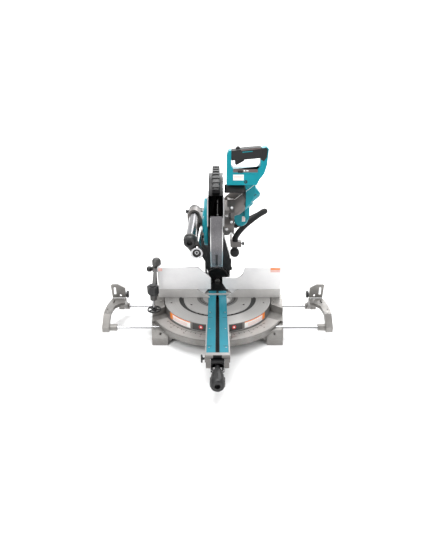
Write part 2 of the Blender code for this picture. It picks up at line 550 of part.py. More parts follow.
def carriage_trim(saw):
    """Pivot shaft, stopper pin, slide lock screw, dust boot and dust hose."""
    shaft = [(0, -0.0480), (0.0080, -0.0480), (0.0080, 0.0603), (0.0120, 0.0603), (0.0120, 0.0645), (0, 0.0645)]
    saw.piece("head_pivot_shaft", "slide_axis", "steel", turned(shaft, "X", (0, PIVOT_Y, PIVOT_Z), 20))
    pin = [(0, 0.0670), (0.0038, 0.0670), (0.0038, 0.0990), (0.0060, 0.0990), (0.0065, 0.1080), (0, 0.1080)]
    saw.piece("stopper_pin", "slide_axis", "black_plastic", turned(pin, "X", (0, 0.0660, 0.3070), 16))
    screw = [(0, -0.1130), (0.0038, -0.1130), (0.0038, -0.1235), (0.0120, -0.1235), (0.0130, -0.1290),
             (0.0120, -0.1370), (0, -0.1370)]
    saw.piece("slide_lock_screw", "slide_axis", "black_plastic", turned(screw, "X", (0, 0.122, 0.425), 14))
    boot = turned([(0, 0.0400), (0.0140, 0.0430), (0.0190, 0.0560), (0.0190, 0.0700), (0.0130, 0.0850), (0, 0.0880)],
                  "Y", (0.0700, 0, 0.2700), 20)
    neck = rod(0.0110, "Z", (0.0700, 0.0640), 0.272, 0.2957, 16)
    saw.piece("dust_boot", "slide_axis", "rubber", boot, [neck])


HOSE_ROUTE = [(0.0710, 0.0640, 0.3185), (0.0712, 0.0640, 0.3300), (0.0780, 0.0645, 0.3450), (0.0900, 0.0660, 0.3620),
              (0.1080, 0.0690, 0.3810), (0.1290, 0.0720, 0.3990), (0.1500, 0.0755, 0.4150), (0.1680, 0.0800, 0.4270),
              (0.1810, 0.0860, 0.4340), (0.1880, 0.0940, 0.4340), (0.1880, 0.1040, 0.4300), (0.1800, 0.1130, 0.4220),
              (0.1640, 0.1190, 0.4110), (0.1440, 0.1240, 0.3990), (0.1240, 0.1290, 0.3870), (0.1060, 0.1340, 0.3760),
              (0.0910, 0.1400, 0.3670), (0.0800, 0.1450, 0.3600), (0.0730, 0.1500, 0.3540)]


def dust_hose(saw):
    """Flexible hose that loops from the dust boot to the outlet at the head pivot."""
    curve = bpy.data.curves.new("dust_hose", "CURVE")
    curve.dimensions = "3D"
    curve.bevel_depth = 0.0110
    curve.bevel_resolution = 2
    curve.use_fill_caps = True
    spline = curve.splines.new("POLY")
    spline.points.add(len(HOSE_ROUTE) - 1)
    for point, place in zip(spline.points, HOSE_ROUTE):
        point.co = (*place, 1.0)
    curve.materials.append(material("rubber"))
    obj = bpy.data.objects.new("dust_hose", curve)
    bpy.context.scene.collection.objects.link(obj)
    saw.hang(obj, "slide_axis")


# Head

def along_motor(profile):
    """A (radius, distance) profile turned about the motor's axis, which leans up to the right."""
    body = turned(profile, "Z", (0, 0, 0), 28)
    body.transform(Matrix.Translation(MOTOR_START) @ Matrix.Rotation(math.pi / 2 - MOTOR_TILT, 4, "Y"))
    return body


def gear_housing(saw):
    """Casting that carries the arbor and reaches back to the head pivot."""
    side = [*arc(PIVOT_Y, PIVOT_Z, 0.0220, -110, 60, 8), (0.110, 0.420), (0.020, 0.505), (-0.060, 0.522),
            (-0.120, 0.500), *arc(ARBOR_Y, ARBOR_Z, 0.050, 150, 285, 10), (0.010, 0.385)]
    arm = prism(side, "X", CASE_RIGHT + GAP, 0.0420)
    gears = prism([*arc(ARBOR_Y, ARBOR_Z, 0.047, 150, 300, 10), (0.000, 0.430), (0.012, 0.490), (-0.020, 0.530),
                   (-0.085, 0.530), (-0.112, 0.490)], "X", 0.035, 0.0600)
    barrel = rod(0.0220, "X", (PIVOT_Y, PIVOT_Z), -0.0320, 0.0420, 24)
    bell = along_motor([(0, -0.030), (0.0350, -0.030), (0.0425, -0.012), (0.0425, 0.080), (0, 0.080)])
    bore = rod(0.0083, "X", (PIVOT_Y, PIVOT_Z), -0.1, 0.1, 20)
    spindle = rod(0.0125, "X", (ARBOR_Y, ARBOR_Z), -0.1, 0.050, 20)
    saw.piece("gear_housing", "head_axis", "cast_aluminium", arm, [gears, barrel, bell], (),
              [bore, spindle, box((0.1, 0.3), (-0.3, 0.3), (0.3, 0.8)), box((-0.2, CASE_RIGHT + GAP), (-0.3, 0.12), (0.3, 0.8))])


def case_section(left, right, radius, wall, inner_left, inner_right):
    """U section of a blade cover as (radius, x) points."""
    return [(inner_left, left), (radius, left), (radius, right), (inner_right, right), (inner_right, right - wall),
            (radius - wall, right - wall), (radius - wall, left + wall), (inner_left, left + wall)]


def blade_case(saw):
    """Fixed upper cover of the blade, open at the bottom and at the front between its rims."""
    centre = (0, ARBOR_Y, ARBOR_Z)
    shell = turned(case_section(CASE_LEFT, CASE_RIGHT, CASE_RADIUS, CASE_WALL, 0.030, 0.052), "X", centre, 32, -47, 180)
    rims = [turned([(0.095, low), (CASE_RADIUS, low), (CASE_RADIUS, high), (0.095, high)], "X", centre, 8, 130, 38)
            for low, high in ((CASE_LEFT, CASE_LEFT + CASE_WALL), (CASE_RIGHT - CASE_WALL, CASE_RIGHT))]
    saw.piece("blade_case", "head_axis", "cast_aluminium", shell, rims)
    cover = turned([(CASE_RADIUS + GAP, -0.018), (0.1950, -0.018), (0.1980, -0.012), (0.1980, 0.004),
                    (0.1950, 0.008), (CASE_RADIUS + GAP, 0.008)], "X", centre, 12, 78, 52)
    saw.piece("case_top_cover", "head_axis", "black_plastic", cover)


def side_cover(saw):
    """Cover over the arbor bolt, cut back at the lower rear so that it clears the fence when the head is down."""
    reach = 0.086
    flat = 0.057
    start = -math.degrees(math.acos(flat / reach))
    outline = arc(0, 0, reach, 0, 360 + start, 30) + [(flat, -0.010)]
    low = prism(outline, "X", -0.0480, CASE_LEFT - GAP)
    smaller = arc(0, 0, 0.042, 0, 345, 23)
    high = prism(smaller, "X", -0.0540, -0.0470)
    for bm in (low, high):
        bm.transform(Matrix.Translation((0, ARBOR_Y, ARBOR_Z)) @ Matrix.Rotation(math.radians(-46.9), 4, "X"))
    saw.piece("side_cover", "head_axis", "teal_paint", low, [high])


def motor_space():
    """The space that the gear housing's bell takes, with a gap round it."""
    bell = along_motor([(0, -0.050), (0.0425 + GAP, -0.050), (0.0425 + GAP, 0.084), (0, 0.084)])
    bmesh.ops.bisect_plane(bell, geom=bell.verts[:] + bell.edges[:] + bell.faces[:], plane_co=(0.1003, 0, 0),
                           plane_no=(1, 0, 0), clear_outer=True)
    bmesh.ops.holes_fill(bell, edges=bell.edges[:])
    return face_out(bell)


def motor(saw):
    """Motor housing that leans up to the right, with the control housing below and the gland of the power cord."""
    body = along_motor([(0, 0.010), (0.0425, 0.010), (0.0425, 0.049), (0.0400, 0.054), (0.0345, 0.056),
                        (0.0335, 0.088), (0.0270, 0.096), (0, 0.098)])
    foot = prism([(0.1003, 0.500), (0.1003, 0.560), (0.0930, 0.5995), (0.1300, 0.5995), (0.1340, 0.585),
                  (0.1250, 0.530)], "Y", -0.085, 0.000)
    link = box((0.0606, 0.1180), (-0.020, 0.020), (0.4350, 0.4700))
    upper = box((0.1006, 0.1180), (-0.040, 0.010), (0.4500, 0.5200))
    low = turned([(0, 0.0445), (0.0210, 0.0445), (0.0255, 0.0400), (0.0265, -0.014), (0.0230, -0.0200), (0, -0.0200)],
                 "Y", (0.0880, 0, 0.4340), 24)
    trim = motor_space()
    gland = turned([(0, 0.0400), (0.0075, 0.0400), (0.0060, 0.0550), (0.0045, 0.0750), (0, 0.0750)], "Y",
                   (0.0920, 0, 0.4400), 14)
    saw.piece("motor_housing", "head_axis", "teal_paint", body, [foot, upper, link, low, gland], (), [trim])


def handle(saw):
    """D-handle: housing, soft grip, trigger, lock-off button, switch panel and its buttons."""
    walls = [(0.030, 0.6020), (0.030, 0.700), (0.036, 0.7130), (0.0445, 0.7140), (0.0445, 0.664), (0.052, 0.656),
             (0.130, 0.656), (0.1390, 0.665), (0.1420, 0.7200), (0.157, 0.7250), (0.165, 0.719), (0.161, 0.668),
             (0.153, 0.640), (0.138, 0.6200), (0.130, 0.6020)]
    body = prism(walls, "Y", HANDLE_FRONT, HANDLE_BACK)
    neck = prism([(0.0228 + 0.01, 0.6020), (0.130, 0.6020), (0.130, 0.6300), (0.0328, 0.6300)], "Y", -0.150, -0.060)
    panel = box((0.0500, 0.1320), (HANDLE_FRONT - 0.0022, HANDLE_FRONT + 0.002), (0.6400, 0.6540))
    saw.piece("handle_housing", "head_axis", "teal_paint", body, [neck, panel])
    bar = [(0.0448, 0.6820), (0.0448, 0.7130), (0.090, 0.7200), (0.1415, 0.7240), (0.1398, 0.6900), (0.100, 0.6860)]
    grip = prism(bar, "Y", HANDLE_FRONT - 0.002, HANDLE_BACK + 0.002)
    pocket = box((0.0560, 0.0880), (-0.159, -0.143), (0.6, 0.6960))
    socket = rod(0.0075, "Z", (0.0660, -0.151), 0.7080, 0.8, 14)
    saw.piece("handle_grip", "head_axis", "rubber", grip, (), (), [pocket, socket])
    pull = prism([(0.0570, 0.6700), (0.0610, 0.6650), (0.0680, 0.6680), (0.0870, 0.6790), (0.0870, 0.6860),
                  (0.0570, 0.6860)], "Y", -0.1575, -0.1445)
    saw.piece("trigger", "head_axis", "black_plastic", pull)
    button = turned([(0, 0.7123), (0.0070, 0.7123), (0.0070, 0.7230), (0.0050, 0.7250), (0, 0.7250)], "Z",
                    (0.0660, -0.151, 0), 14)
    saw.piece("lock_off_button", "head_axis", "black_plastic", button)
    key = box((0.0660, 0.0820), (HANDLE_FRONT - 0.0060, HANDLE_FRONT - 0.0042), (0.6435, 0.6505))
    saw.piece("light_switch", "head_axis", "black_plastic", key)


def carry_grip(saw):
    """Carrying grip between the blade case and the handle."""
    bar = [(0, 0.0230), (0.0120, 0.0230), (0.0150, 0.028), (0.0140, 0.055), (0.0150, 0.0860), (0.0120, 0.0920),
           (0, 0.0920)]
    saw.piece("carry_grip", "head_axis", "rubber", turned(bar, "X", (0, -0.120, 0.5780), 20))


def lower_guard(saw):
    """Swinging guard over the lower front half of the blade."""
    section = case_section(-0.0240, 0.0180, GUARD_RADIUS, 0.0025, 0.0330, 0.0700)
    shell = turned(section, "X", (0, ARBOR_Y, ARBOR_Z), 28, 156, 157)
    saw.piece("lower_guard", "arbor_axis", "smoke_guard", shell)


def blade_set(saw):
    """Toothed blade between the collar of the arbor and a loose flange, with the bolt that holds them."""
    teeth = 48
    outline = []
    for tooth in range(teeth):
        start = 360 / teeth * tooth
        outline += arc(0, 0, BLADE_RADIUS - 0.0065, start, start + 3.2, 1)
        outline += [(BLADE_RADIUS * math.cos(math.radians(start + 4.2)),
                     BLADE_RADIUS * math.sin(math.radians(start + 4.2)))]
    blade = prism([(ARBOR_Y + y, ARBOR_Z + z) for y, z in outline], "X", -0.0011, 0.0011)
    bore = rod(0.0128, "X", (ARBOR_Y, ARBOR_Z), -0.1, 0.1, 20)
    saw.piece("saw_blade", "arbor_axis", "steel", blade, (), (), [bore])
    flange = turned([(0.0128, -0.0014), (0.0128, -0.0060), (0.0270, -0.0060), (0.0290, -0.0014)], "X",
                    (0, ARBOR_Y, ARBOR_Z), 24)
    saw.piece("outer_flange", "arbor_axis", "steel", flange)
    shaft = [(0, -0.0063), (0.0123, -0.0063), (0.0123, 0.0014), (0.0290, 0.0014), (0.0270, 0.0060), (0.0123, 0.0060),
             (0.0123, 0.0480), (0, 0.0480)]
    saw.piece("arbor_shaft", "arbor_axis", "steel", turned(shaft, "X", (0, ARBOR_Y, ARBOR_Z), 24))
    bolt = turned([(0, -0.0066), (0.0160, -0.0066), (0.0160, -0.0090), (0, -0.0090)], "X", (0, ARBOR_Y, ARBOR_Z), 20)
    hexagon = prism([(ARBOR_Y + y, ARBOR_Z + z) for y, z in arc(0, 0, 0.0100, 0, 300, 5)], "X", -0.0150, -0.0085)
    saw.piece("arbor_bolt", "arbor_axis", "steel", bolt, [hexagon])


def main():
    """Build the saw, body by body."""
    clear_scene()
    saw = Assembly()
    make_pivots(saw)
    base_casting(saw)
    base_trim(saw)
    lower_fence(saw)
    turntable(saw)
    table_trim(saw)
    mitre_controls(saw)
    for side in ("left", "right"):
        sub_fence(saw, side)
        holder(saw, side)
    vise(saw)
    rails(saw)
    bevel_arm(saw)
    rail_front(saw)
    carriage(saw)
    carriage_trim(saw)
    dust_hose(saw)
    gear_housing(saw)
    blade_case(saw)
    side_cover(saw)
    motor(saw)
    handle(saw)
    carry_grip(saw)
    lower_guard(saw)
    blade_set(saw)


main()
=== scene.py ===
"""Visual model of a sliding compound mitre saw: the finish of every part, and its small fittings.

Metres, +Z up. Fittings are drawn in the saw's own coordinates, where the face of the fence is Y = 0,
and fitting() moves them back by FENCE_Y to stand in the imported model's frame.
"""

import json
import logging
import math
from dataclasses import dataclass
from enum import Enum

import bmesh
import bpy
from mathutils import Matrix, Vector

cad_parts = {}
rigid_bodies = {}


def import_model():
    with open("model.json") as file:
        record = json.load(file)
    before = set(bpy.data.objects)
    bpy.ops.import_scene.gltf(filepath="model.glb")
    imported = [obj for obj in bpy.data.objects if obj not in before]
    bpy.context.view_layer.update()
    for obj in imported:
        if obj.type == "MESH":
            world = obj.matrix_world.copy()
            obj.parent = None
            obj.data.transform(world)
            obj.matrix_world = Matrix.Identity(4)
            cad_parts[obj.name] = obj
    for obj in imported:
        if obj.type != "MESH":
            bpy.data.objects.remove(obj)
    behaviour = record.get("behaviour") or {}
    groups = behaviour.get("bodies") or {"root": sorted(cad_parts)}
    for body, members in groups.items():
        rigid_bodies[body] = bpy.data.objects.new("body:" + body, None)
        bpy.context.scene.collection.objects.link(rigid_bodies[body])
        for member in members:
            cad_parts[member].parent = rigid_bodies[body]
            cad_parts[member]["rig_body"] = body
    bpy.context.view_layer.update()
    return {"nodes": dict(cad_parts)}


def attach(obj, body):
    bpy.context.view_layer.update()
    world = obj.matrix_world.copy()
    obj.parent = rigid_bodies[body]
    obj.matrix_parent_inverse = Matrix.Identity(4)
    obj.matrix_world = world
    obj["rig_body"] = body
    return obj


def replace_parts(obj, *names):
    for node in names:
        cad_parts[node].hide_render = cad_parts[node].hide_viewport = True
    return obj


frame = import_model()
LOG = logging.getLogger("mitre_saw")
# Heights, radii and places that more than one sub-assembly uses, in saw coordinates.
FENCE_Y = 0.112
TABLE_TOP = 0.095
TABLE_RADIUS = 0.216
SCALE_TOP = 0.0611
ARBOR_Y = -0.060
ARBOR_Z = 0.440
UPPER_RAIL = (-0.095, 0.413)
LOWER_RAIL = (-0.072, 0.370)
MOTOR_START = (0.064, -0.035, 0.502)
MOTOR_TILT = math.radians(38)
HANDLE_FRONT = -0.1699
# Thickness of a label, and of a raised number.
VINYL = 0.0003
NUMERAL_THICK = 0.00016
# Degrees: edges flatter than the first are shaded smooth, and edges flatter than the second are removed.
SMOOTH_BELOW = 40.0
FLAT_BELOW = 0.8
# A noise rarely leaves this range, so it is spread over the whole of a tone or a roughness.
NOISE = {"From Min": 0.3, "From Max": 0.7}
POLYCARBONATE_IOR = 1.58
SIDES = (("left", -1), ("right", 1))
Point = tuple[float, float, float]
Span = tuple[float, float]
Profile = list[Span]
Shape = bmesh.types.BMesh
Tree = bpy.types.NodeTree
Socket = bpy.types.NodeSocket


class Axis(Enum):
    """The direction that a shape is turned or pulled along."""

    X = Matrix(((0, 0, 1, 0), (1, 0, 0, 0), (0, 1, 0, 0), (0, 0, 0, 1)))
    Y = Matrix(((0, 1, 0, 0), (0, 0, 1, 0), (1, 0, 0, 0), (0, 0, 0, 1)))
    Z = Matrix(((1, 0, 0, 0), (0, 1, 0, 0), (0, 0, 1, 0), (0, 0, 0, 1)))

    def point(self, u: float, v: float, w: float) -> Point:
        """Places an outline's corner in space.

        Args:
            u: the corner's first coordinate.
            v: its second coordinate.
            w: its height along this axis.

        Returns:
            The corner's X, Y and Z.
        """
        return {"X": (w, u, v), "Y": (u, w, v), "Z": (u, v, w)}[self.name]


class Slot(Enum):
    """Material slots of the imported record."""

    CAST = "cast_grey"
    MACHINED = "machined_silver"
    BLACK_PAINT = "black_paint"
    STEEL = "steel"
    CHROME = "chrome"
    BLACK_PLASTIC = "black_plastic"
    TEAL = "teal_plastic"
    SMOKE = "smoke"
    RUBBER = "rubber"


# Finishes

def linear(colour: str) -> tuple[float, float, float, float]:
    """Turns an sRGB hex colour to linear light.

    Args:
        colour: six hex digits after a hash sign.

    Returns:
        Linear red, green, blue and an alpha of 1.
    """
    channels = [int(colour[i:i + 2], 16) / 255 for i in (1, 3, 5)]
    light = [c / 12.92 if c <= 0.04045 else ((c + 0.055) / 1.055) ** 2.4 for c in channels]
    return (light[0], light[1], light[2], 1.0)


def add_node(tree: Tree, kind: str, settings: dict | None = None,
             inputs: dict | None = None) -> bpy.types.Node:
    """Adds a node with its settings and links.

    Args:
        tree: the node tree it goes in.
        kind: Blender's name for the node.
        settings: attributes to set on it.
        inputs: a socket to link, or a value to set, for each input by name or number.

    Returns:
        The new node.
    """
    node = tree.nodes.new(kind)
    for key, value in (settings or {}).items():
        setattr(node, key, value)
    for key, value in (inputs or {}).items():
        if isinstance(value, Socket):
            tree.links.new(value, node.inputs[key])
        else:
            node.inputs[key].default_value = value
    return node


def worked(tree: Tree, operation: str, *values: Socket | float) -> Socket:
    """One step of arithmetic.

    Args:
        tree: the node tree.
        operation: Blender's name for it.
        values: the sockets or numbers that it works on.

    Returns:
        The result's socket.
    """
    return add_node(tree, "ShaderNodeMath", {"operation": operation}, dict(enumerate(values))).outputs[0]


@dataclass(frozen=True)
class Finish:
    """A finish with a fine grain, broad patches of tone, and a bump from the same grain."""

    name: str
    slot: Slot
    colour: str
    second: str
    roughness: float
    grain_mm: float
    bump_mm: float
    metallic: float = 0.0
    swing: float = 0.10
    stretch: Point = (1.0, 1.0, 1.0)
    transmission: float = 0.0
    patch_mm: float = 45.0
    specular: float = 0.5

    def make(self) -> bpy.types.Material:
        """Makes the material once.

        Returns:
            The material.
        """
        found = bpy.data.materials.get(self.name)
        if found:
            return found
        made = bpy.data.materials.new(self.name)
        made.use_nodes = True
        tree = made.node_tree
        shader = tree.nodes["Principled BSDF"]
        place = add_node(tree, "ShaderNodeTexCoord").outputs["Object"]
        scale = {"Vector": place, "Scale": self.stretch}
        mapped = add_node(tree, "ShaderNodeMapping", None, scale).outputs[0]
        grain = add_node(tree, "ShaderNodeTexNoise", None,
                         {"Vector": mapped, "Scale": 1000 / self.grain_mm, "Detail": 3.0}).outputs["Fac"]
        patch = add_node(tree, "ShaderNodeTexNoise", None,
                         {"Vector": place, "Scale": 1000 / self.patch_mm, "Detail": 2.0}).outputs["Fac"]
        both = worked(tree, "MULTIPLY_ADD", patch, 0.5, worked(tree, "MULTIPLY", grain, 0.5))
        tone = add_node(tree, "ShaderNodeMapRange", None, NOISE | {"Value": both}).outputs["Result"]
        dull = {"To Min": self.roughness - self.swing / 2, "To Max": self.roughness + self.swing / 2}
        rough = add_node(tree, "ShaderNodeMapRange", None, NOISE | {"Value": grain} | dull).outputs["Result"]
        bump = add_node(tree, "ShaderNodeBump", None,
                        {"Height": grain, "Strength": 0.6, "Distance": self.bump_mm / 1000}).outputs["Normal"]
        tree.links.new(self.paint(tree, place, tone), shader.inputs["Base Color"])
        tree.links.new(rough, shader.inputs["Roughness"])
        tree.links.new(bump, shader.inputs["Normal"])
        shader.inputs["Metallic"].default_value = self.metallic
        shader.inputs["Specular IOR Level"].default_value = self.specular
        shader.inputs["Transmission Weight"].default_value = self.transmission
        if self.transmission:
            shader.inputs["IOR"].default_value = POLYCARBONATE_IOR
        return made

    def paint(self, tree: Tree, place: Socket, tone: Socket) -> Socket:
        """The surface colour.

        Args:
            tree: the material's node tree.
            place: object coordinates, not used here.
            tone: 0 for the first colour and 1 for the second.

        Returns:
            The colour's socket.
        """
        return blended(tree, tone, linear(self.colour), linear(self.second))


def blended(tree: Tree, share: Socket, first: object, second: object) -> Socket:
    """Mixes two colours.

    Args:
        tree: the node tree.
        share: how much of the second colour shows.
        first: a colour or a socket.
        second: a colour or a socket.

    Returns:
        The mixed colour's socket.
    """
    inputs = {0: share, 6: first, 7: second}
    return add_node(tree, "ShaderNodeMix", {"data_type": "RGBA"}, inputs).outputs[2]


def within(tree: Tree, value: Socket, low: float, high: float) -> Socket:
    """A mask that is 1 where a value lies between two numbers.

    Args:
        tree: the node tree.
        value: the value's socket.
        low: the lowest value inside.
        high: the highest value inside.

    Returns:
        The mask's socket.
    """
    return worked(tree, "COMPARE", value, (low + high) / 2, (high - low) / 2)


def radius_from(tree: Tree, place: Socket, centre: Point, keep: Point) -> Socket:
    """The distance from a centre, leaving out one direction.

    Args:
        tree: the node tree.
        place: object coordinates.
        centre: the point to measure from.
        keep: 1 for each direction that counts and 0 for the one that doesn't.

    Returns:
        The distance's socket.
    """
    away = add_node(tree, "ShaderNodeVectorMath", {"operation": "SUBTRACT"}, {0: place, 1: centre}).outputs[0]
    flat = add_node(tree, "ShaderNodeVectorMath", {"operation": "MULTIPLY"}, {0: away, 1: keep}).outputs[0]
    return add_node(tree, "ShaderNodeVectorMath", {"operation": "LENGTH"}, {0: flat}).outputs["Value"]


@dataclass(frozen=True)
class TableFinish(Finish):
    """Cast aluminium with a faced top, painted shade in the sunk grooves, the kerf slot and a strip behind
    the fence, and a black painted flange at the back.
    """

    boss: Span = (0.0600, 0.0840)
    trough: Span = (-0.045, 0.045)
    kerf: Span = (-0.0145, 0.0145)
    outer_groove: Span = (0.1463, 0.1557)
    inner_groove: Span = (0.0693, 0.0737)
    back_end: float = FENCE_Y + 0.190
    skin: float = 0.0006

    def paint(self, tree: Tree, place: Socket, tone: Socket) -> Socket:
        """The table's colour: cast sides, a paler faced top with turning rings, painted shade in the grooves
        and behind the fence, and the flange.

        Args:
            tree: the material's node tree.
            place: object coordinates.
            tone: 0 for the first colour and 1 for the second.

        Returns:
            The colour's socket.
        """
        colour = blended(tree, tone, linear(self.colour), linear(self.second))
        parts = add_node(tree, "ShaderNodeSeparateXYZ", None, {0: place}).outputs
        reach = radius_from(tree, place, (0.0, FENCE_Y, 0.0), (1.0, 1.0, 0.0))
        # The facing cut leaves rings about 0.1 mm apart; they are drawn 2.5 mm apart so that they show.
        rings = add_node(tree, "ShaderNodeTexNoise", {"noise_dimensions": "1D"},
                         {"W": reach, "Scale": 400.0, "Detail": 3.0}).outputs["Fac"]
        faced = blended(tree, rings, linear("#959391"), linear("#BDBCBA"))
        faced = blended(tree, within(tree, reach, *self.boss), faced, linear("#727170"))
        # Painted shade: a strip of the top behind the fence is painted near black.
        behind = within(tree, parts["Y"], FENCE_Y + 0.058, self.back_end)
        trough = within(tree, parts["X"], *self.trough)
        faced = blended(tree, worked(tree, "MULTIPLY", behind, trough), faced, linear("#151617"))
        top = within(tree, parts["Z"], TABLE_TOP - self.skin, TABLE_TOP + self.skin)
        colour = blended(tree, top, colour, faced)
        sunk = within(tree, parts["Z"], TABLE_TOP - 0.020, TABLE_TOP - 0.0009)
        back = within(tree, parts["Y"], FENCE_Y + 0.1555, self.back_end)
        standing = within(tree, parts["Z"], TABLE_TOP + self.skin, 0.3)
        # Painted shade darkens the sunk grooves and the kerf slot; the standing flange at the back is painted
        # black.
        for plan, height, dark in ((within(tree, reach, *self.outer_groove), sunk, "#050606"),
                                   (within(tree, reach, *self.inner_groove), sunk, "#3C3B3A"),
                                   (within(tree, parts["X"], *self.kerf), sunk, "#08090A"),
                                   (back, standing, "#101112")):
            colour = blended(tree, worked(tree, "MULTIPLY", plan, height), colour, linear(dark))
        return colour


@dataclass(frozen=True)
class CaseFinish(Finish):
    """Cast magnesium sides, with painted shade inside the blade cover."""

    inside_radius: float = 0.1790
    inside_x: Span = (-0.0317, 0.0199)

    def paint(self, tree: Tree, place: Socket, tone: Socket) -> Socket:
        """The cover's colour, with painted shade inside.

        Args:
            tree: the material's node tree.
            place: object coordinates.
            tone: 0 for the first colour and 1 for the second.

        Returns:
            The colour's socket.
        """
        outside = blended(tree, tone, linear(self.colour), linear(self.second))
        parts = add_node(tree, "ShaderNodeSeparateXYZ", None, {0: place}).outputs
        reach = radius_from(tree, place, (0.0, ARBOR_Y + FENCE_Y, ARBOR_Z), (0.0, 1.0, 1.0))
        # Painted shade: inside the cover, between its walls, is painted near black.
        deep = within(tree, reach, 0.0, self.inside_radius)
        between = within(tree, parts["X"], *self.inside_x)
        return blended(tree, worked(tree, "MULTIPLY", deep, between), outside, linear("#0B0B0C"))


# Sand-cast aluminium, painted warm grey: a 1 mm pebbled skin with a soft metallic sheen.
CAST = Finish("sand_cast_aluminium", Slot.CAST, "#6E6B68", "#92908D", 0.38, 1.1, 0.12, metallic=0.5)
# The same casting with its top faced on a lathe.
TABLE = TableFinish("faced_cast_aluminium", Slot.CAST, "#6E6B69", "#8E8B88", 0.36, 1.1, 0.08, metallic=0.5)
# Die-cast magnesium cover, finer than the base.
CASE = CaseFinish("die_cast_magnesium", Slot.CAST, "#77736F", "#918D89", 0.34, 0.8, 0.06, metallic=0.6)
# The raised lines on that cover, a little darker.
CASE_RIB = Finish("die_cast_magnesium_rib", Slot.CAST, "#6E6A67", "#8A8682", 0.34, 0.8, 0.05, metallic=0.6)
GEARS = Finish("die_cast_gear_case", Slot.CAST, "#5E5A58", "#767270", 0.36, 0.8, 0.08, metallic=0.5)
# Extruded fence, ground along its length: long bright streaks about 1 mm wide.
FENCE = Finish("ground_aluminium_extrusion", Slot.MACHINED, "#E2E1E2", "#EDECEC", 0.36, 1.0, 0.01,
               metallic=0.3, stretch=(0.06, 1.0, 1.0))
# The mitre scale plate: matt anodised, a little paler than the casting under it.
SCALE_PLATE = Finish("matt_anodised_plate", Slot.MACHINED, "#989592", "#ADAAA7", 0.45, 0.8, 0.01,
                     metallic=0.3)
# The fixed fence: a casting faced bright on the front.
CAST_FENCE = Finish("faced_fence_casting", Slot.MACHINED, "#BBB9B7", "#CFCDCB", 0.38, 0.9, 0.02, metallic=0.3)
# Near-white metal for the gear case bolts and the table lip, also used as painted highlights along the rims
# of the blade cover and the guard.
BRIGHT_METAL_AND_HIGHLIGHT = Finish("polished_metal_and_painted_highlight", Slot.MACHINED, "#D9D9DA", "#F4F4F5", 0.20, 1.5, 0.01, metallic=0.7)
# Hard-chromed rail and rods: nearly a mirror.
CHROME = Finish("hard_chrome", Slot.CHROME, "#A9A9AB", "#C2C2C4", 0.14, 1.2, 0.004, metallic=1.0,
                swing=0.05)
# Chromed slide rail, polished along its length; its colour is darkened below the other chrome as painted
# shade.
SHADED_CHROME = Finish("chrome_rail_painted_shade", Slot.CHROME, "#4C4C50", "#66666A", 0.18, 1.2, 0.004, metallic=1.0,
                     swing=0.06, stretch=(1.0, 0.05, 1.0))
STEEL = Finish("zinc_plated_steel", Slot.STEEL, "#A9A8A5", "#C6C5C1", 0.30, 0.7, 0.02, metallic=1.0)
BLADE = Finish("ground_saw_steel", Slot.STEEL, "#7F7F7E", "#939392", 0.26, 1.4, 0.01, metallic=1.0)
# Powder coat: orange peel about 1.5 mm across.
BLACK = Finish("black_powder_coat", Slot.BLACK_PAINT, "#0D0E0F", "#1A1B1C", 0.40, 1.5, 0.06)
# Glass-filled nylon with a spark-eroded 0.6 mm texture.
NYLON = Finish("black_glass_filled_nylon", Slot.BLACK_PLASTIC, "#111112", "#1F1F20", 0.45, 0.6, 0.05)
GREY_NYLON = Finish("dark_grey_nylon", Slot.BLACK_PLASTIC, "#3A3938", "#4B4A49", 0.42, 0.6, 0.05)
TEAL = Finish("teal_glass_filled_nylon", Slot.TEAL, "#00808D", "#0092A0", 0.36, 0.8, 0.03, swing=0.08,
              specular=0.3)
BOARD = Finish("teal_kerf_board_nylon", Slot.TEAL, "#087688", "#0C8295", 0.48, 0.9, 0.04)
# Soft over-moulded elastomer, matt with a 1 mm stipple.
RUBBER = Finish("overmoulded_elastomer", Slot.RUBBER, "#0C0C0D", "#181819", 0.66, 1.0, 0.10)
# Smoked polycarbonate, with moulding flow in it and light scuffs.
SMOKE = Finish("smoked_polycarbonate", Slot.SMOKE, "#5C5A5D", "#6D6B6E", 0.24, 3.0, 0.01, transmission=0.03)
# Printed vinyl; the white one also paints a highlight line on the motor.
WHITE_VINYL_AND_HIGHLIGHT = Finish("white_vinyl_and_painted_highlight", Slot.MACHINED, "#F1EFEC", "#FBFAF8", 0.40, 2.0, 0.005)
ORANGE_VINYL = Finish("orange_vinyl", Slot.MACHINED, "#F07A1E", "#F98E33", 0.40, 2.0, 0.005)
PINK_PRINT = Finish("pink_print", Slot.MACHINED, "#E9B4AC", "#F0C6BE", 0.45, 2.0, 0.005)
RED_VINYL = Finish("red_vinyl", Slot.MACHINED, "#CF2F33", "#DD4548", 0.40, 2.0, 0.005)
# Black ink for print and dark seams, also laid on as painted shade in slots, holes and recesses.
INK_AND_SHADE = Finish("black_ink_and_painted_shade", Slot.BLACK_PAINT, "#121212", "#1E1E1E", 0.50, 1.0, 0.003)
BROWN_GREY = Finish("brown_grey_nylon", Slot.BLACK_PLASTIC, "#5A4D4C", "#6B5D5B", 0.45, 0.6, 0.04)


# Shapes

def face_out(bm: Shape) -> Shape:
    """Turns every face of a closed shape outwards.

    Args:
        bm: the shape.

    Returns:
        The same shape.
    """
    bmesh.ops.recalc_face_normals(bm, faces=bm.faces)
    if bm.calc_volume(signed=True) < 0:
        bmesh.ops.reverse_faces(bm, faces=bm.faces)
    return bm


def spun(bm: Shape, degrees: float) -> Shape:
    """Turns a shape about the Z axis.

    Args:
        bm: the shape.
        degrees: how far it turns.

    Returns:
        The same shape.
    """
    turn = Matrix.Rotation(math.radians(degrees), 3, "Z")
    bmesh.ops.rotate(bm, verts=bm.verts, cent=(0, 0, 0), matrix=turn)
    return bm


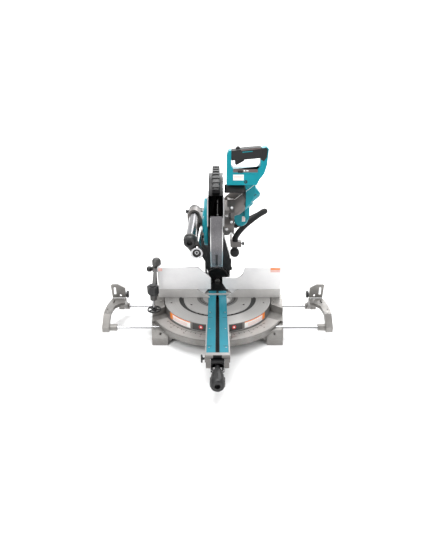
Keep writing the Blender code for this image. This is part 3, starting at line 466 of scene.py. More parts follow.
def rounded(bm: Shape, width: float, segments: int = 2, above: float = 30.0) -> Shape:
    """Rounds the sharp edges of a shape.

    Args:
        bm: the shape.
        width: how far the rounding reaches.
        segments: how many faces it has.
        above: the least angle, in degrees, of an edge that counts as sharp.

    Returns:
        The same shape.
    """
    limit = math.radians(above)
    edges = [e for e in bm.edges if e.is_manifold and e.calc_face_angle(0.0) > limit]
    if edges and width > 0:
        bmesh.ops.bevel(bm, geom=edges, offset=width, offset_type="OFFSET", affect="EDGES",
                        segments=segments, profile=0.5, material=-1, clamp_overlap=True)
    return bm


def pulled(outline: Profile, axis: Axis, low: float, high: float, edge: float = 0.0) -> Shape:
    """An outline pulled along an axis.

    Args:
        outline: its corners. X takes (Y, Z), Y takes (X, Z) and Z takes (X, Y).
        axis: the direction of the pull.
        low: where it starts.
        high: where it ends.
        edge: how far its edges are rounded.

    Returns:
        The shape.
    """
    bm = bmesh.new()
    face = bm.faces.new([bm.verts.new(axis.point(u, v, low)) for u, v in outline])
    made = bmesh.ops.extrude_face_region(bm, geom=[face])["geom"]
    moved = [item for item in made if isinstance(item, bmesh.types.BMVert)]
    bmesh.ops.translate(bm, verts=moved, vec=axis.point(0, 0, high - low))
    return rounded(face_out(bm), edge)


def block(x: Span, y: Span, z: Span, edge: float = 0.0) -> Shape:
    """A block with rounded edges.

    Args:
        x: its lowest and highest X.
        y: its lowest and highest Y.
        z: its lowest and highest Z.
        edge: how far its edges are rounded.

    Returns:
        The shape.
    """
    bm = bmesh.new()
    bmesh.ops.create_cube(bm, size=1.0)
    bmesh.ops.scale(bm, verts=bm.verts, vec=(x[1] - x[0], y[1] - y[0], z[1] - z[0]))
    bmesh.ops.translate(bm, verts=bm.verts, vec=[sum(pair) / 2 for pair in (x, y, z)])
    return rounded(bm, edge)


def turned(profile: Profile, axis: Axis, centre: Point, steps: int = 32,
           start: float = 0.0, sweep: float = 360.0) -> Shape:
    """A closed profile spun about an axis.

    Args:
        profile: (radius, distance along the axis) corners.
        axis: the axis.
        centre: a point on it.
        steps: how many faces go round.
        start: the angle it starts at, in degrees.
        sweep: the angle it covers, in degrees.

    Returns:
        The shape.
    """
    bm = bmesh.new()
    verts = [bm.verts.new((r, 0, h)) for r, h in profile]
    edges = [bm.edges.new(pair) for pair in zip(verts, verts[1:] + verts[:1])]
    full = sweep >= 360.0
    cap = [] if full else [bm.faces.new(verts)]
    spun(bm, start)
    bmesh.ops.spin(bm, geom=verts + edges + cap, cent=(0, 0, 0), axis=(0, 0, 1),
                   angle=math.radians(sweep), steps=steps, use_merge=full)
    bmesh.ops.remove_doubles(bm, verts=bm.verts, dist=1e-6)
    bm.transform(Matrix.Translation(centre) @ axis.value)
    return face_out(bm)


def band(inner: float, outer: float, low: float, high: float, axis: Axis, centre: Point,
         start: float = 0.0, sweep: float = 360.0, steps: int = 12) -> Shape:
    """A flat ring, or a sector of one.

    Args:
        inner: its inner radius.
        outer: its outer radius.
        low: where it starts along the axis.
        high: where it ends along the axis.
        axis: the axis.
        centre: a point on it.
        start: its first angle, in degrees.
        sweep: the angle it covers, in degrees.
        steps: how many faces it has along its length.

    Returns:
        The shape.
    """
    profile = [(inner, low), (outer, low), (outer, high), (inner, high)]
    return turned(profile, axis, centre, steps, start, sweep)


def swept(route: list[Vector], radii: list[float], sides: int = 20) -> Shape:
    """A closed tube whose width changes along a route.

    Args:
        route: the points on its centreline.
        radii: its radius at each point.
        sides: how many faces go round.

    Returns:
        The shape.
    """
    bm = bmesh.new()
    side = Vector((0, 0, 0))
    loops = []
    for i, (point, radius) in enumerate(zip(route, radii)):
        ahead = (route[min(i + 1, len(route) - 1)] - route[max(i - 1, 0)]).normalized()
        side = side - ahead * side.dot(ahead) if side.length else ahead.orthogonal()
        side.normalize()
        up = ahead.cross(side)
        turn = Matrix((side, up, ahead)).transposed().to_4x4()
        made = bmesh.ops.create_circle(bm, cap_ends=False, segments=sides, radius=radius,
                                       matrix=Matrix.Translation(point) @ turn)
        loops.append(list({e for v in made["verts"] for e in v.link_edges}))
    for first, second in zip(loops, loops[1:]):
        bmesh.ops.bridge_loops(bm, edges=first + second)
    bmesh.ops.holes_fill(bm, edges=loops[0], sides=0)
    bmesh.ops.holes_fill(bm, edges=loops[-1], sides=0)
    return face_out(bm)


def cap_screw(x: float, y: float, z: float, axis: Axis, out: float, radius: float = 0.0036) -> Shape:
    """A socket-head cap screw's head.

    Args:
        x: X of the seat.
        y: Y of the seat.
        z: Z of the seat.
        axis: the screw's axis.
        out: how far the head stands out, negative towards the axis's low end.
        radius: the head's radius.

    Returns:
        The shape.
    """
    r = radius
    profile = [(0, 0), (r, 0), (r, out * 0.85), (r * 0.88, out), (r * 0.52, out), (r * 0.48, out * 0.35),
               (0, out * 0.35)]
    return turned(profile, axis, (x, y, z), 18)


def grip_ring(axis: Axis, centre: Point, radius: float, low: float, high: float, count: int, width: float,
              proud: float = 0.0008, edge: float = 0.00036) -> list[Shape]:
    """The ribs round a hand knob.

    Args:
        axis: the knob's axis.
        centre: a point on it.
        radius: the knob's radius under the ribs.
        low: where the ribs start along the axis.
        high: where they end.
        count: how many there are.
        width: the width of a rib.
        proud: how far they stand out.
        edge: how far their edges are rounded.

    Returns:
        One shape for each rib.
    """
    ribs = []
    for i in range(count):
        rib = block((radius - 0.001, radius + proud), (-width / 2, width / 2), (low, high), edge)
        spun(rib, 360 * i / count).transform(Matrix.Translation(centre) @ axis.value)
        ribs.append(rib)
    return ribs


def across(bm: Shape) -> Shape:
    """The mirror image on the other side of X = 0.

    Args:
        bm: the shape.

    Returns:
        The same shape, mirrored.
    """
    bmesh.ops.scale(bm, verts=bm.verts, vec=(-1, 1, 1))
    bmesh.ops.reverse_faces(bm, faces=bm.faces)
    return bm


def on_side(bm: Shape, sign: int) -> Shape:
    """A shape drawn for the left side, mirrored when it is wanted on the right.

    Args:
        bm: the shape.
        sign: -1 for the left and 1 for the right.

    Returns:
        The same shape.
    """
    return across(bm) if sign > 0 else bm


def span(sign: int, near: float, far: float) -> Span:
    """The lowest and highest X of something on one side of the saw.

    Args:
        sign: -1 on the left and 1 on the right.
        near: how far from the middle it starts.
        far: how far from the middle it ends.

    Returns:
        The lowest and the highest X.
    """
    low, high = sorted((sign * near, sign * far))
    return (low, high)


def dressed(name: str, body: str, finish: Finish, mesh: bpy.types.Mesh) -> bpy.types.Object:
    """Makes a mesh into a finished piece that rides on a body.

    Args:
        name: the piece's name.
        body: the body that it moves with.
        finish: what it is finished in.
        mesh: its mesh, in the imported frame.

    Returns:
        The piece.
    """
    mesh.shade_smooth()
    mesh.set_sharp_from_angle(angle=math.radians(SMOOTH_BELOW))
    mesh.materials.clear()
    mesh.materials.append(finish.make())
    obj = bpy.data.objects.new(name, mesh)
    bpy.context.scene.collection.objects.link(obj)
    even = obj.modifiers.new("Even shading", "WEIGHTED_NORMAL")
    even.keep_sharp = True
    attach(obj, body)
    return obj


def fitting(name: str, body: str, finish: Finish, shapes: list[Shape]) -> bpy.types.Object:
    """A new piece made of one or more shapes drawn in the saw's coordinates.

    Args:
        name: the piece's name.
        body: the body that it moves with.
        finish: what it is finished in.
        shapes: its shapes, which are used up.

    Returns:
        The piece.
    """
    whole = bmesh.new()
    for shape in shapes:
        part = bpy.data.meshes.new("part")
        shape.to_mesh(part)
        shape.free()
        whole.from_mesh(part)
        bpy.data.meshes.remove(part)
    bmesh.ops.translate(whole, verts=whole.verts, vec=(0, FENCE_Y, 0))
    mesh = bpy.data.meshes.new(name)
    whole.to_mesh(mesh)
    whole.free()
    return dressed(name, body, finish, mesh)


def eased(node: str, finish: Finish, edge: float = 0.0006, segments: int = 2) -> bpy.types.Object:
    """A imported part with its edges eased, which stands for that part.

    Args:
        node: the part's name.
        finish: what it is finished in.
        edge: how far its edges are rounded.
        segments: how many faces the rounding has.

    Returns:
        The piece.
    """
    source = frame["nodes"][node]
    bm = bmesh.new()
    bm.from_mesh(source.data)
    bmesh.ops.remove_doubles(bm, verts=bm.verts, dist=2e-6)
    bmesh.ops.dissolve_limit(bm, angle_limit=math.radians(FLAT_BELOW), use_dissolve_boundaries=False,
                             verts=bm.verts, edges=bm.edges)
    rounded(bm, edge, segments)
    mesh = bpy.data.meshes.new(f"{node}_eased")
    bm.to_mesh(mesh)
    bm.free()
    piece = dressed(f"{node}_eased", source["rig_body"], finish, mesh)
    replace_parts(piece, node)
    return piece


def numeral(text: str, size: float, place: Matrix) -> Shape:
    """A raised number for a dial.

    Args:
        text: the digits.
        size: their height.
        place: where they stand, reading along local X with local Z up.

    Returns:
        The shape.
    """
    curve = bpy.data.curves.new("numeral", "FONT")
    curve.body = text
    curve.size = size
    curve.extrude = NUMERAL_THICK / 2
    curve.align_x = "CENTER"
    curve.align_y = "CENTER"
    obj = bpy.data.objects.new("numeral", curve)
    bpy.context.scene.collection.objects.link(obj)
    bpy.context.view_layer.update()
    mesh = bpy.data.meshes.new_from_object(obj)
    bpy.data.objects.remove(obj)
    bm = bmesh.new()
    bm.from_mesh(mesh)
    bpy.data.meshes.remove(mesh)
    bmesh.ops.remove_doubles(bm, verts=bm.verts, dist=1e-6)
    bm.transform(place)
    return bm


# Sub-assemblies

# The labels on each sliding fence: name, finish, and their reach in X and Z.
FENCE_LABELS = {
    "left": [("fence_label_left", PINK_PRINT, (-0.237, -0.221), (0.2140, 0.2265))],
    "right": [("fence_label_right", ORANGE_VINYL, (0.212, 0.250), (0.2195, 0.2270)),
              ("fence_label_right_low", PINK_PRINT, (0.212, 0.250), (0.2090, 0.2185))]}


@dataclass
class Base:
    """Base casting with its mitre scale, the fixed and sliding fences, and their clamps."""

    mark_ring: float = 0.2285
    number_ring: float = 0.2500
    bolt_places: tuple[float, ...] = (-0.195, -0.120, 0.120, 0.195)

    def build(self) -> None:
        """Builds and dresses the base."""
        eased("base_casting", CAST, 0.0012)
        eased("mitre_scale_plate", SCALE_PLATE, 0.0002)
        eased("pivot_bolt", STEEL)
        eased("lower_fence", CAST_FENCE, 0.0004)
        self.scale()
        self.fences()
        self.feet()

    def scale(self) -> None:
        """Degree marks and numbers on the mitre scale."""
        marks = []
        for degree in range(-55, 53):
            long = 0.012 if degree % 15 == 0 else (0.009 if degree % 5 == 0 else 0.005)
            wide = 0.0020 if degree % 5 == 0 else 0.0009
            mark = block((-wide / 2, wide / 2), (-self.mark_ring - long, -self.mark_ring),
                         (SCALE_TOP, SCALE_TOP + 0.0002))
            marks.append(spun(mark, degree))
        fitting("mitre_scale_marks", "base", INK_AND_SHADE, marks)
        numbers = []
        for degree in (-45, -30, -15, 0, 15, 30, 45):
            turn = Matrix.Rotation(math.radians(degree), 4, "Z")
            place = turn @ Matrix.Translation((0, -self.number_ring, SCALE_TOP + 0.0001))
            numbers.append(numeral(str(abs(degree)), 0.0085, place))
        fitting("mitre_scale_numbers", "base", INK_AND_SHADE, numbers)

    def fences(self) -> None:
        """Sliding fences, their clamps, labels and the bolts of the fixed fence."""
        for side, sign in SIDES:
            eased(f"sub_fence_{side}", FENCE, 0.0005)
            eased(f"fence_clamp_{side}", NYLON)
            ribs = grip_ring(Axis.Y, (sign * 0.215, 0, 0.115), 0.0113, 0.0285, 0.0405, 10, 0.0024)
            fitting(f"fence_clamp_ribs_{side}", f"fence_clamp_{side}", NYLON, ribs)
            for name, finish, x, z in FENCE_LABELS[side]:
                fitting(name, f"sub_fence_{side}", finish, [block(x, (-VINYL, 0), z)])
        bolts = [cap_screw(x, 0.0185, 0.1004, Axis.Z, 0.0022, 0.0030) for x in self.bolt_places]
        fitting("fence_bolts", "base", STEEL, bolts)

    def feet(self) -> None:
        """Steel rims round the bench holes, and the clamp screws of the guide rods in the wings."""
        profile = [(0.0047, 0.0590), (0.0085, 0.0590), (0.0080, 0.0606), (0.0047, 0.0606)]
        rims = [turned(profile, Axis.Z, (x, -0.135, 0), 20) for x in (-0.215, 0.215)]
        fitting("bench_hole_rims", "base", STEEL, rims)
        screws = [cap_screw(x, -0.0300, 0.0948, Axis.Z, 0.0030, 0.0042) for x in (-0.2290, 0.2290)]
        fitting("rod_clamp_screws", "base", STEEL, screws)


@dataclass
class Turntable:
    """Turntable with its kerf boards, side labels, stickers, pointer, handle and detent lever."""

    label_start: float = -148.0
    label_sweep: float = 30.0
    board_screws: tuple[float, ...] = (-0.36, -0.24, -0.12)
    seam_places: tuple[float, ...] = (-0.128, -0.162, -0.353)
    crescent_radius: float = 0.1575
    crescent_points: int = 25
    flange_top: float = 0.0551

    def build(self) -> None:
        """Builds and dresses the turntable."""
        eased("turntable", TABLE, 0.0006)
        eased("mitre_pointer", STEEL, 0.0003)
        eased("bevel_pivot_shaft", STEEL)
        self.boards()
        self.side_labels()
        self.bevel_scale()
        self.controls()

    def boards(self) -> None:
        """Kerf boards with their seams, painted shade along the kerf slot, and countersunk screws."""
        seam = (TABLE_TOP, TABLE_TOP + 0.0001)
        seams = []
        for side, sign in SIDES:
            eased(f"kerf_board_{side}", BOARD, 0.0003)
            heads = [cap_screw(sign * 0.029, y, TABLE_TOP - 0.0013, Axis.Z, 0.0011, 0.0026)
                     for y in self.board_screws]
            fitting(f"kerf_board_screws_{side}", "turntable", STEEL, heads)
            for y in self.seam_places:
                seams.append(block(span(sign, 0.0190, 0.0366), (y - 0.0010, y + 0.0010), seam))
            # Painted shade: dark strips along both edges of the kerf slot make it look wider.
            seams.append(block(span(sign, 0.0050, 0.0070), (-0.3905, 0.0034), seam))
        fitting("kerf_board_seams_and_slot_shade", "turntable", INK_AND_SHADE, seams)
        tails = [block(span(sign, 0.0050, 0.0369), (0.0036, 0.0600), (TABLE_TOP, TABLE_TOP + 0.0002))
                 for _, sign in SIDES]
        fitting("kerf_board_tails", "turntable", BOARD, tails)
        # Painted shade: a thin dark sheet on the table for the open kerf slot behind the boards.
        gap = block((-0.0050, 0.0050), (0.0230, 0.0600), seam)
        fitting("kerf_slot_tail", "turntable", INK_AND_SHADE, [gap])
        self.crescents()

    def crescents(self) -> None:
        """Painted shade for the crescent recesses, laid flat on the table, narrowing towards the front arm.
        """
        count, radius = self.crescent_points, self.crescent_radius
        angles = [math.radians(182 + 3 * i) for i in range(count)]
        widths = [0.0045 + 0.0150 * math.cos(math.pi * i / (2 * count - 2)) ** 2 for i in range(count)]
        outer = [(radius * math.cos(a), radius * math.sin(a)) for a in angles]
        inner = [((radius - w) * math.cos(a), (radius - w) * math.sin(a)) for a, w in zip(angles, widths)]
        shapes = [on_side(pulled(outer + inner[::-1], Axis.Z, TABLE_TOP, TABLE_TOP + 0.0002), sign)
                  for _, sign in SIDES]
        fitting("table_crescents", "turntable", INK_AND_SHADE, shapes)

    def arc(self, out: Span, z: Span, start: float, sweep: float, steps: int) -> Shape:
        """A thin strip bent round the side of the table.

        Args:
            out: how far out from the side it starts and ends.
            z: its lowest and highest Z.
            start: its first angle, in degrees.
            sweep: the angle it covers, in degrees.
            steps: how many faces it has along its length.

        Returns:
            The shape.
        """
        return band(TABLE_RADIUS + out[0], TABLE_RADIUS + out[1], z[0], z[1], Axis.Z, (0, 0, 0), start, sweep,
                    steps)

    def side_labels(self) -> None:
        """Labels, dark windows and round stickers on the side of the table."""
        start, sweep = self.label_start, self.label_sweep
        near, far = -TABLE_RADIUS - 0.0010, -TABLE_RADIUS + 0.0005
        for side, sign in SIDES:
            pieces = {
                "label": (WHITE_VINYL_AND_HIGHLIGHT, [self.arc((0, VINYL), (0.0660, 0.0925), start, sweep, 10)]),
                "label_strip": (ORANGE_VINYL, [
                    self.arc((VINYL, 0.0005), (0.0890, 0.0925), start, sweep, 10),
                    self.arc((VINYL, 0.0005), (0.0660, 0.0925), start, 5.0, 3)]),
                "label_print": (PINK_PRINT, [
                    self.arc((VINYL, 0.0004), (z, z + 0.0012), start + 5, sweep - 9, 8)
                    for z in (0.0700, 0.0730, 0.0760, 0.0790, 0.0820)]),
                "window": (GREY_NYLON, [self.arc((0, 0.0004), (0.0645, 0.0915), -115.5, 16.5, 8)]),
                "sticker": (RED_VINYL, [
                    spun(band(0.0036, 0.0078, near, far, Axis.Y, (0, 0, 0.0800), steps=24), -16.5)]),
                "sticker_dot": (WHITE_VINYL_AND_HIGHLIGHT, [
                    spun(band(0, 0.0034, near, far, Axis.Y, (0, 0, 0.0800), steps=24), -16.5)]),
                "lip": (BRIGHT_METAL_AND_HIGHLIGHT, [self.arc((0, 0.0012), (0.0625, 0.0645), -150.5, 56, 18)])}
            for name, (finish, shapes) in pieces.items():
                placed = [on_side(shape, sign) for shape in shapes]
                fitting(f"table_{name}_{side}", "turntable", finish, placed)

    def bevel_scale(self) -> None:
        """Bevel scale round the top of the rear flange."""
        low, centre = self.flange_top, (0, 0, TABLE_TOP)
        strip = band(low, low + 0.0006, 0.1620, 0.1765, Axis.Y, centre, -50, 100, 24)
        fitting("bevel_scale", "turntable", BLACK, [strip])
        marks = []
        for degree in range(-48, 49, 2):
            deep = 0.0075 if degree % 10 == 0 else 0.0040
            marks.append(band(low + 0.0005, low + 0.0008, 0.1760 - deep, 0.1760, Axis.Y, centre,
                              degree - 0.25, 0.5, 1))
        fitting("bevel_scale_marks", "turntable", SCALE_PLATE, marks)

    def controls(self) -> None:
        """Mitre grip, detent lever and thumb screw."""
        eased("mitre_grip", NYLON)
        ribs = grip_ring(Axis.Y, (0, 0, 0.060), 0.0236, -0.5130, -0.4880, 10, 0.0032, 0.0013, 0.0006)
        fitting("mitre_grip_ribs", "mitre_grip", RUBBER, ribs)
        eased("detent_lever", NYLON, 0.0008)
        profile = [(0.0030, -0.4492), (0.0033, -0.4485), (0.0033, -0.4245), (0.0030, -0.4240)]
        wires = [turned(profile, Axis.Y, (x, 0, 0.060), 14) for x in (-0.0195, 0.0195)]
        fitting("detent_fork_sleeves", "detent_lever", CHROME, wires)
        eased("side_thumb_screw", NYLON, 0.0008)


@dataclass
class Extension:
    """Extension holder with its guide rods, stop plate, knob and screws."""

    side: str
    screw_places: tuple[Span, ...] = ((0.4235, -0.1220), (0.3800, -0.0120))

    def build(self) -> None:
        """Builds and dresses one extension."""
        side, sign = self.side, dict(SIDES)[self.side]
        eased(f"extension_holder_{side}", CAST, 0.0010)
        eased(f"guide_rod_front_{side}", CHROME, 0.0003)
        eased(f"guide_rod_rear_{side}", CHROME, 0.0003)
        eased(f"stop_plate_{side}", CAST, 0.0005)
        eased(f"stop_knob_{side}", NYLON)
        heads = [cap_screw(sign * x, y, TABLE_TOP - 0.0002, Axis.Z, 0.0012, 0.0030)
                 for x, y in self.screw_places]
        fitting(f"extension_screws_{side}", f"extension_{side}", STEEL, heads)
        ribs = grip_ring(Axis.X, (0, 0, 0.1100), 0.0135, *span(sign, 0.3635, 0.3712), 12, 0.0022)
        fitting(f"stop_knob_ribs_{side}", f"stop_knob_{side}", NYLON, ribs)


@dataclass
class Vise:
    """Hold-down vise."""

    pad_x: float = -0.246
    pad_y: float = -0.105
    spokes: int = 5
    thread_start: float = 0.1085
    thread_turns: int = 16
    thread_pitch: float = 0.002

    def build(self) -> None:
        """Builds and dresses the vise."""
        eased("vise_rod", GREY_NYLON, 0.0004)
        eased("vise_arm", GREY_NYLON, 0.0008)
        eased("vise_top_knob", GREY_NYLON, 0.0010)
        eased("vise_thumb_screw", NYLON)
        eased("vise_screw", NYLON, 0.0008)
        threads = [(0.0049, self.thread_start)]
        for i in range(self.thread_turns):
            z = self.thread_start + self.thread_pitch * i
            threads += [(0.0052, z), (0.00545, z + 0.0005), (0.00545, z + 0.0013), (0.0052, z + 0.0018)]
        threads.append((0.0049, 0.1403))
        thread = turned(threads, Axis.Z, (self.pad_x, self.pad_y, 0), 20)
        fitting("vise_screw_thread", "vise_screw", CHROME, [thread])
        self.pad()

    def pad(self) -> None:
        """Spoked ring that presses on the work."""
        low = TABLE_TOP + 0.0005
        centre = (self.pad_x, self.pad_y, 0)
        ring = turned([(0.0222, low), (0.0262, low), (0.0270, low + 0.0018), (0.0262, low + 0.0054),
                       (0.0222, low + 0.0054), (0.0214, low + 0.0018)], Axis.Z, centre, 40)
        hub = turned([(0, low), (0.0098, low), (0.0108, low + 0.0012), (0.0108, 0.1030), (0.0098, 0.1041),
                      (0, 0.1041)], Axis.Z, centre, 28)
        shapes = [ring, hub]
        for i in range(self.spokes):
            spoke = block((0.0095, 0.0225), (-0.0022, 0.0022), (low, low + 0.0042), 0.0005)
            spun(spoke, 360 * i / self.spokes)
            bmesh.ops.translate(spoke, verts=spoke.verts, vec=centre)
            shapes.append(spoke)
        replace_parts(fitting("vise_pad_ring", "vise_pad", NYLON, shapes), "vise_pad")


@dataclass
class Slide:
    """Bevel arm, rails, carriage and dust hose."""

    hose_radius: float = 0.0119
    rib_pitch: float = 0.0036
    rib_depth: float = 0.0010
    lock_axis: Point = (0, 0.122, 0.425)
    # The hose's centreline, from the shelf over the boot round its loop to its end near the head pivot.
    route: tuple[Point, ...] = (
        (0.0710, 0.0640, 0.3185), (0.0712, 0.0640, 0.3300), (0.0780, 0.0645, 0.3450),
        (0.0900, 0.0660, 0.3620), (0.1080, 0.0690, 0.3810), (0.1290, 0.0720, 0.3990),
        (0.1500, 0.0755, 0.4150), (0.1680, 0.0800, 0.4270), (0.1810, 0.0860, 0.4340),
        (0.1880, 0.0940, 0.4340), (0.1880, 0.1040, 0.4300), (0.1800, 0.1130, 0.4220),
        (0.1640, 0.1190, 0.4110), (0.1440, 0.1240, 0.3990), (0.1240, 0.1290, 0.3870),
        (0.1060, 0.1340, 0.3760), (0.0910, 0.1400, 0.3670), (0.0800, 0.1450, 0.3600),
        (0.0730, 0.1500, 0.3540))

    def build(self) -> None:
        """Builds and dresses everything that tilts and slides."""
        eased("bevel_arm", BLACK, 0.0010)
        # The upper rail's chrome is painted darker, as painted shade.
        eased("rail_upper", SHADED_CHROME, 0.0008)
        eased("rail_lower", CHROME, 0.0005)
        eased("rail_bracket", GREY_NYLON, 0.0010)
        eased("bevel_lock_knob", NYLON)
        eased("bevel_release_lever", NYLON, 0.0008)
        eased("carriage", GEARS, 0.0010)
        eased("head_pivot_shaft", STEEL)
        eased("dust_boot", RUBBER)
        eased("stopper_pin", CHROME)
        self.knobs()
        self.rail_ends()
        self.bolts()
        self.hose()

    def knobs(self) -> None:
        """The slide lock's head, and the ribs of both knobs."""
        profile = [(0, -0.1130), (0.0038, -0.1130), (0.0038, -0.1225), (0.0072, -0.1225), (0.0078, -0.1245),
                   (0.0078, -0.1275), (0.0070, -0.1285), (0, -0.1285)]
        knob = turned(profile, Axis.X, self.lock_axis, 24)
        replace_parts(fitting("slide_lock_head", "slide_lock_screw", NYLON, [knob]), "slide_lock_screw")
        x, z = UPPER_RAIL
        ribs = grip_ring(Axis.Y, (x, 0, z), 0.0200, -0.2045, -0.1915, 12, 0.0040)
        fitting("bevel_lock_knob_ribs", "bevel_lock_knob", NYLON, ribs)
        ribs = grip_ring(Axis.X, self.lock_axis, 0.0075, -0.1275, -0.1235, 8, 0.0018, 0.0006, 0.00027)
        fitting("slide_lock_ribs", "slide_lock_screw", NYLON, ribs)

    def rail_ends(self) -> None:
        """Collar, plug and rings on the front ends of the rails, and the stopper pin's cap."""
        upper = (UPPER_RAIL[0], 0, UPPER_RAIL[1])
        lower = (LOWER_RAIL[0], 0, LOWER_RAIL[1])
        profile = [(0.0176, -0.1698), (0.0208, -0.1698), (0.0214, -0.1692), (0.0214, -0.1656),
                   (0.0208, -0.1650), (0.0176, -0.1650)]
        fitting("rail_collar", "bevel_arm", CHROME, [turned(profile, Axis.Y, upper, 36)])
        plug = band(0, 0.0127, -0.1904, -0.1898, Axis.Y, lower, steps=28)
        fitting("rail_bore_plug", "bevel_arm", INK_AND_SHADE, [plug])
        # Painted shade: a dark disc for the bore in the front of the bevel lock knob.
        seat = band(0, 0.0087, -0.1984, -0.1978, Axis.Y, upper, steps=24)
        fitting("bevel_lock_knob_bore", "bevel_lock_knob", INK_AND_SHADE, [seat])
        ring = band(0.0046, 0.0066, -0.1912, -0.1903, Axis.Y, lower, steps=24)
        fitting("rail_bore_ring", "bevel_arm", CHROME, [ring])
        profile = [(0, 0.0990), (0.0064, 0.0990), (0.0067, 0.1000), (0.0067, 0.1070), (0.0060, 0.1080),
                   (0, 0.1080)]
        cap = turned(profile, Axis.X, (0, 0.0660, 0.3070), 20)
        fitting("stopper_pin_cap", "stopper_pin", NYLON, [cap])

    def bolts(self) -> None:
        """Bolts on the back of the bevel arm and on the carriage."""
        back = [cap_screw(px, 0.2299, pz, Axis.Y, 0.0040, 0.0050)
                for px, pz in ((-0.038, 0.150), (0.040, 0.150), (0.000, 0.2320))]
        fitting("bevel_arm_bolts", "bevel_arm", STEEL, back)
        pivot = cap_screw(0.0644, 0.175, 0.335, Axis.X, 0.0035, 0.0075)
        fitting("head_pivot_cap", "carriage", STEEL, [pivot])

    def hose(self) -> None:
        """Ribbed dust hose, from the shelf over the boot round its loop to an end near the head pivot."""
        points = self.smooth_route()
        radii = [self.hose_radius - (self.rib_depth if i % 3 == 0 else 0.0) for i in range(len(points))]
        hose = fitting("dust_hose_ribbed", "carriage", RUBBER, [swept(points, radii, 22)])
        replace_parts(hose, "dust_hose")

    def smooth_route(self) -> list[Vector]:
        """A smooth curve through the hose's points, a third of a rib apart.

        Returns:
            The points.
        """
        points = [Vector(point) for point in self.route]
        ends = [points[0] * 2 - points[1]] + points + [points[-1] * 2 - points[-2]]
        cuts = 12
        dense = []
        for a, b, c, d in zip(ends, ends[1:], ends[2:], ends[3:]):
            for t in (i / cuts for i in range(cuts)):
                dense.append(0.5 * (2 * b + (c - a) * t + (2 * a - 5 * b + 4 * c - d) * t ** 2
                                    + (3 * b - a - 3 * c + d) * t ** 3))
        dense.append(points[-1])
        step = self.rib_pitch / 3
        even, gone, wanted = [dense[0]], 0.0, step
        for first, second in zip(dense, dense[1:]):
            length = (second - first).length
            while gone + length >= wanted:
                even.append(first.lerp(second, (wanted - gone) / length))
                wanted += step
            gone += length
        return even


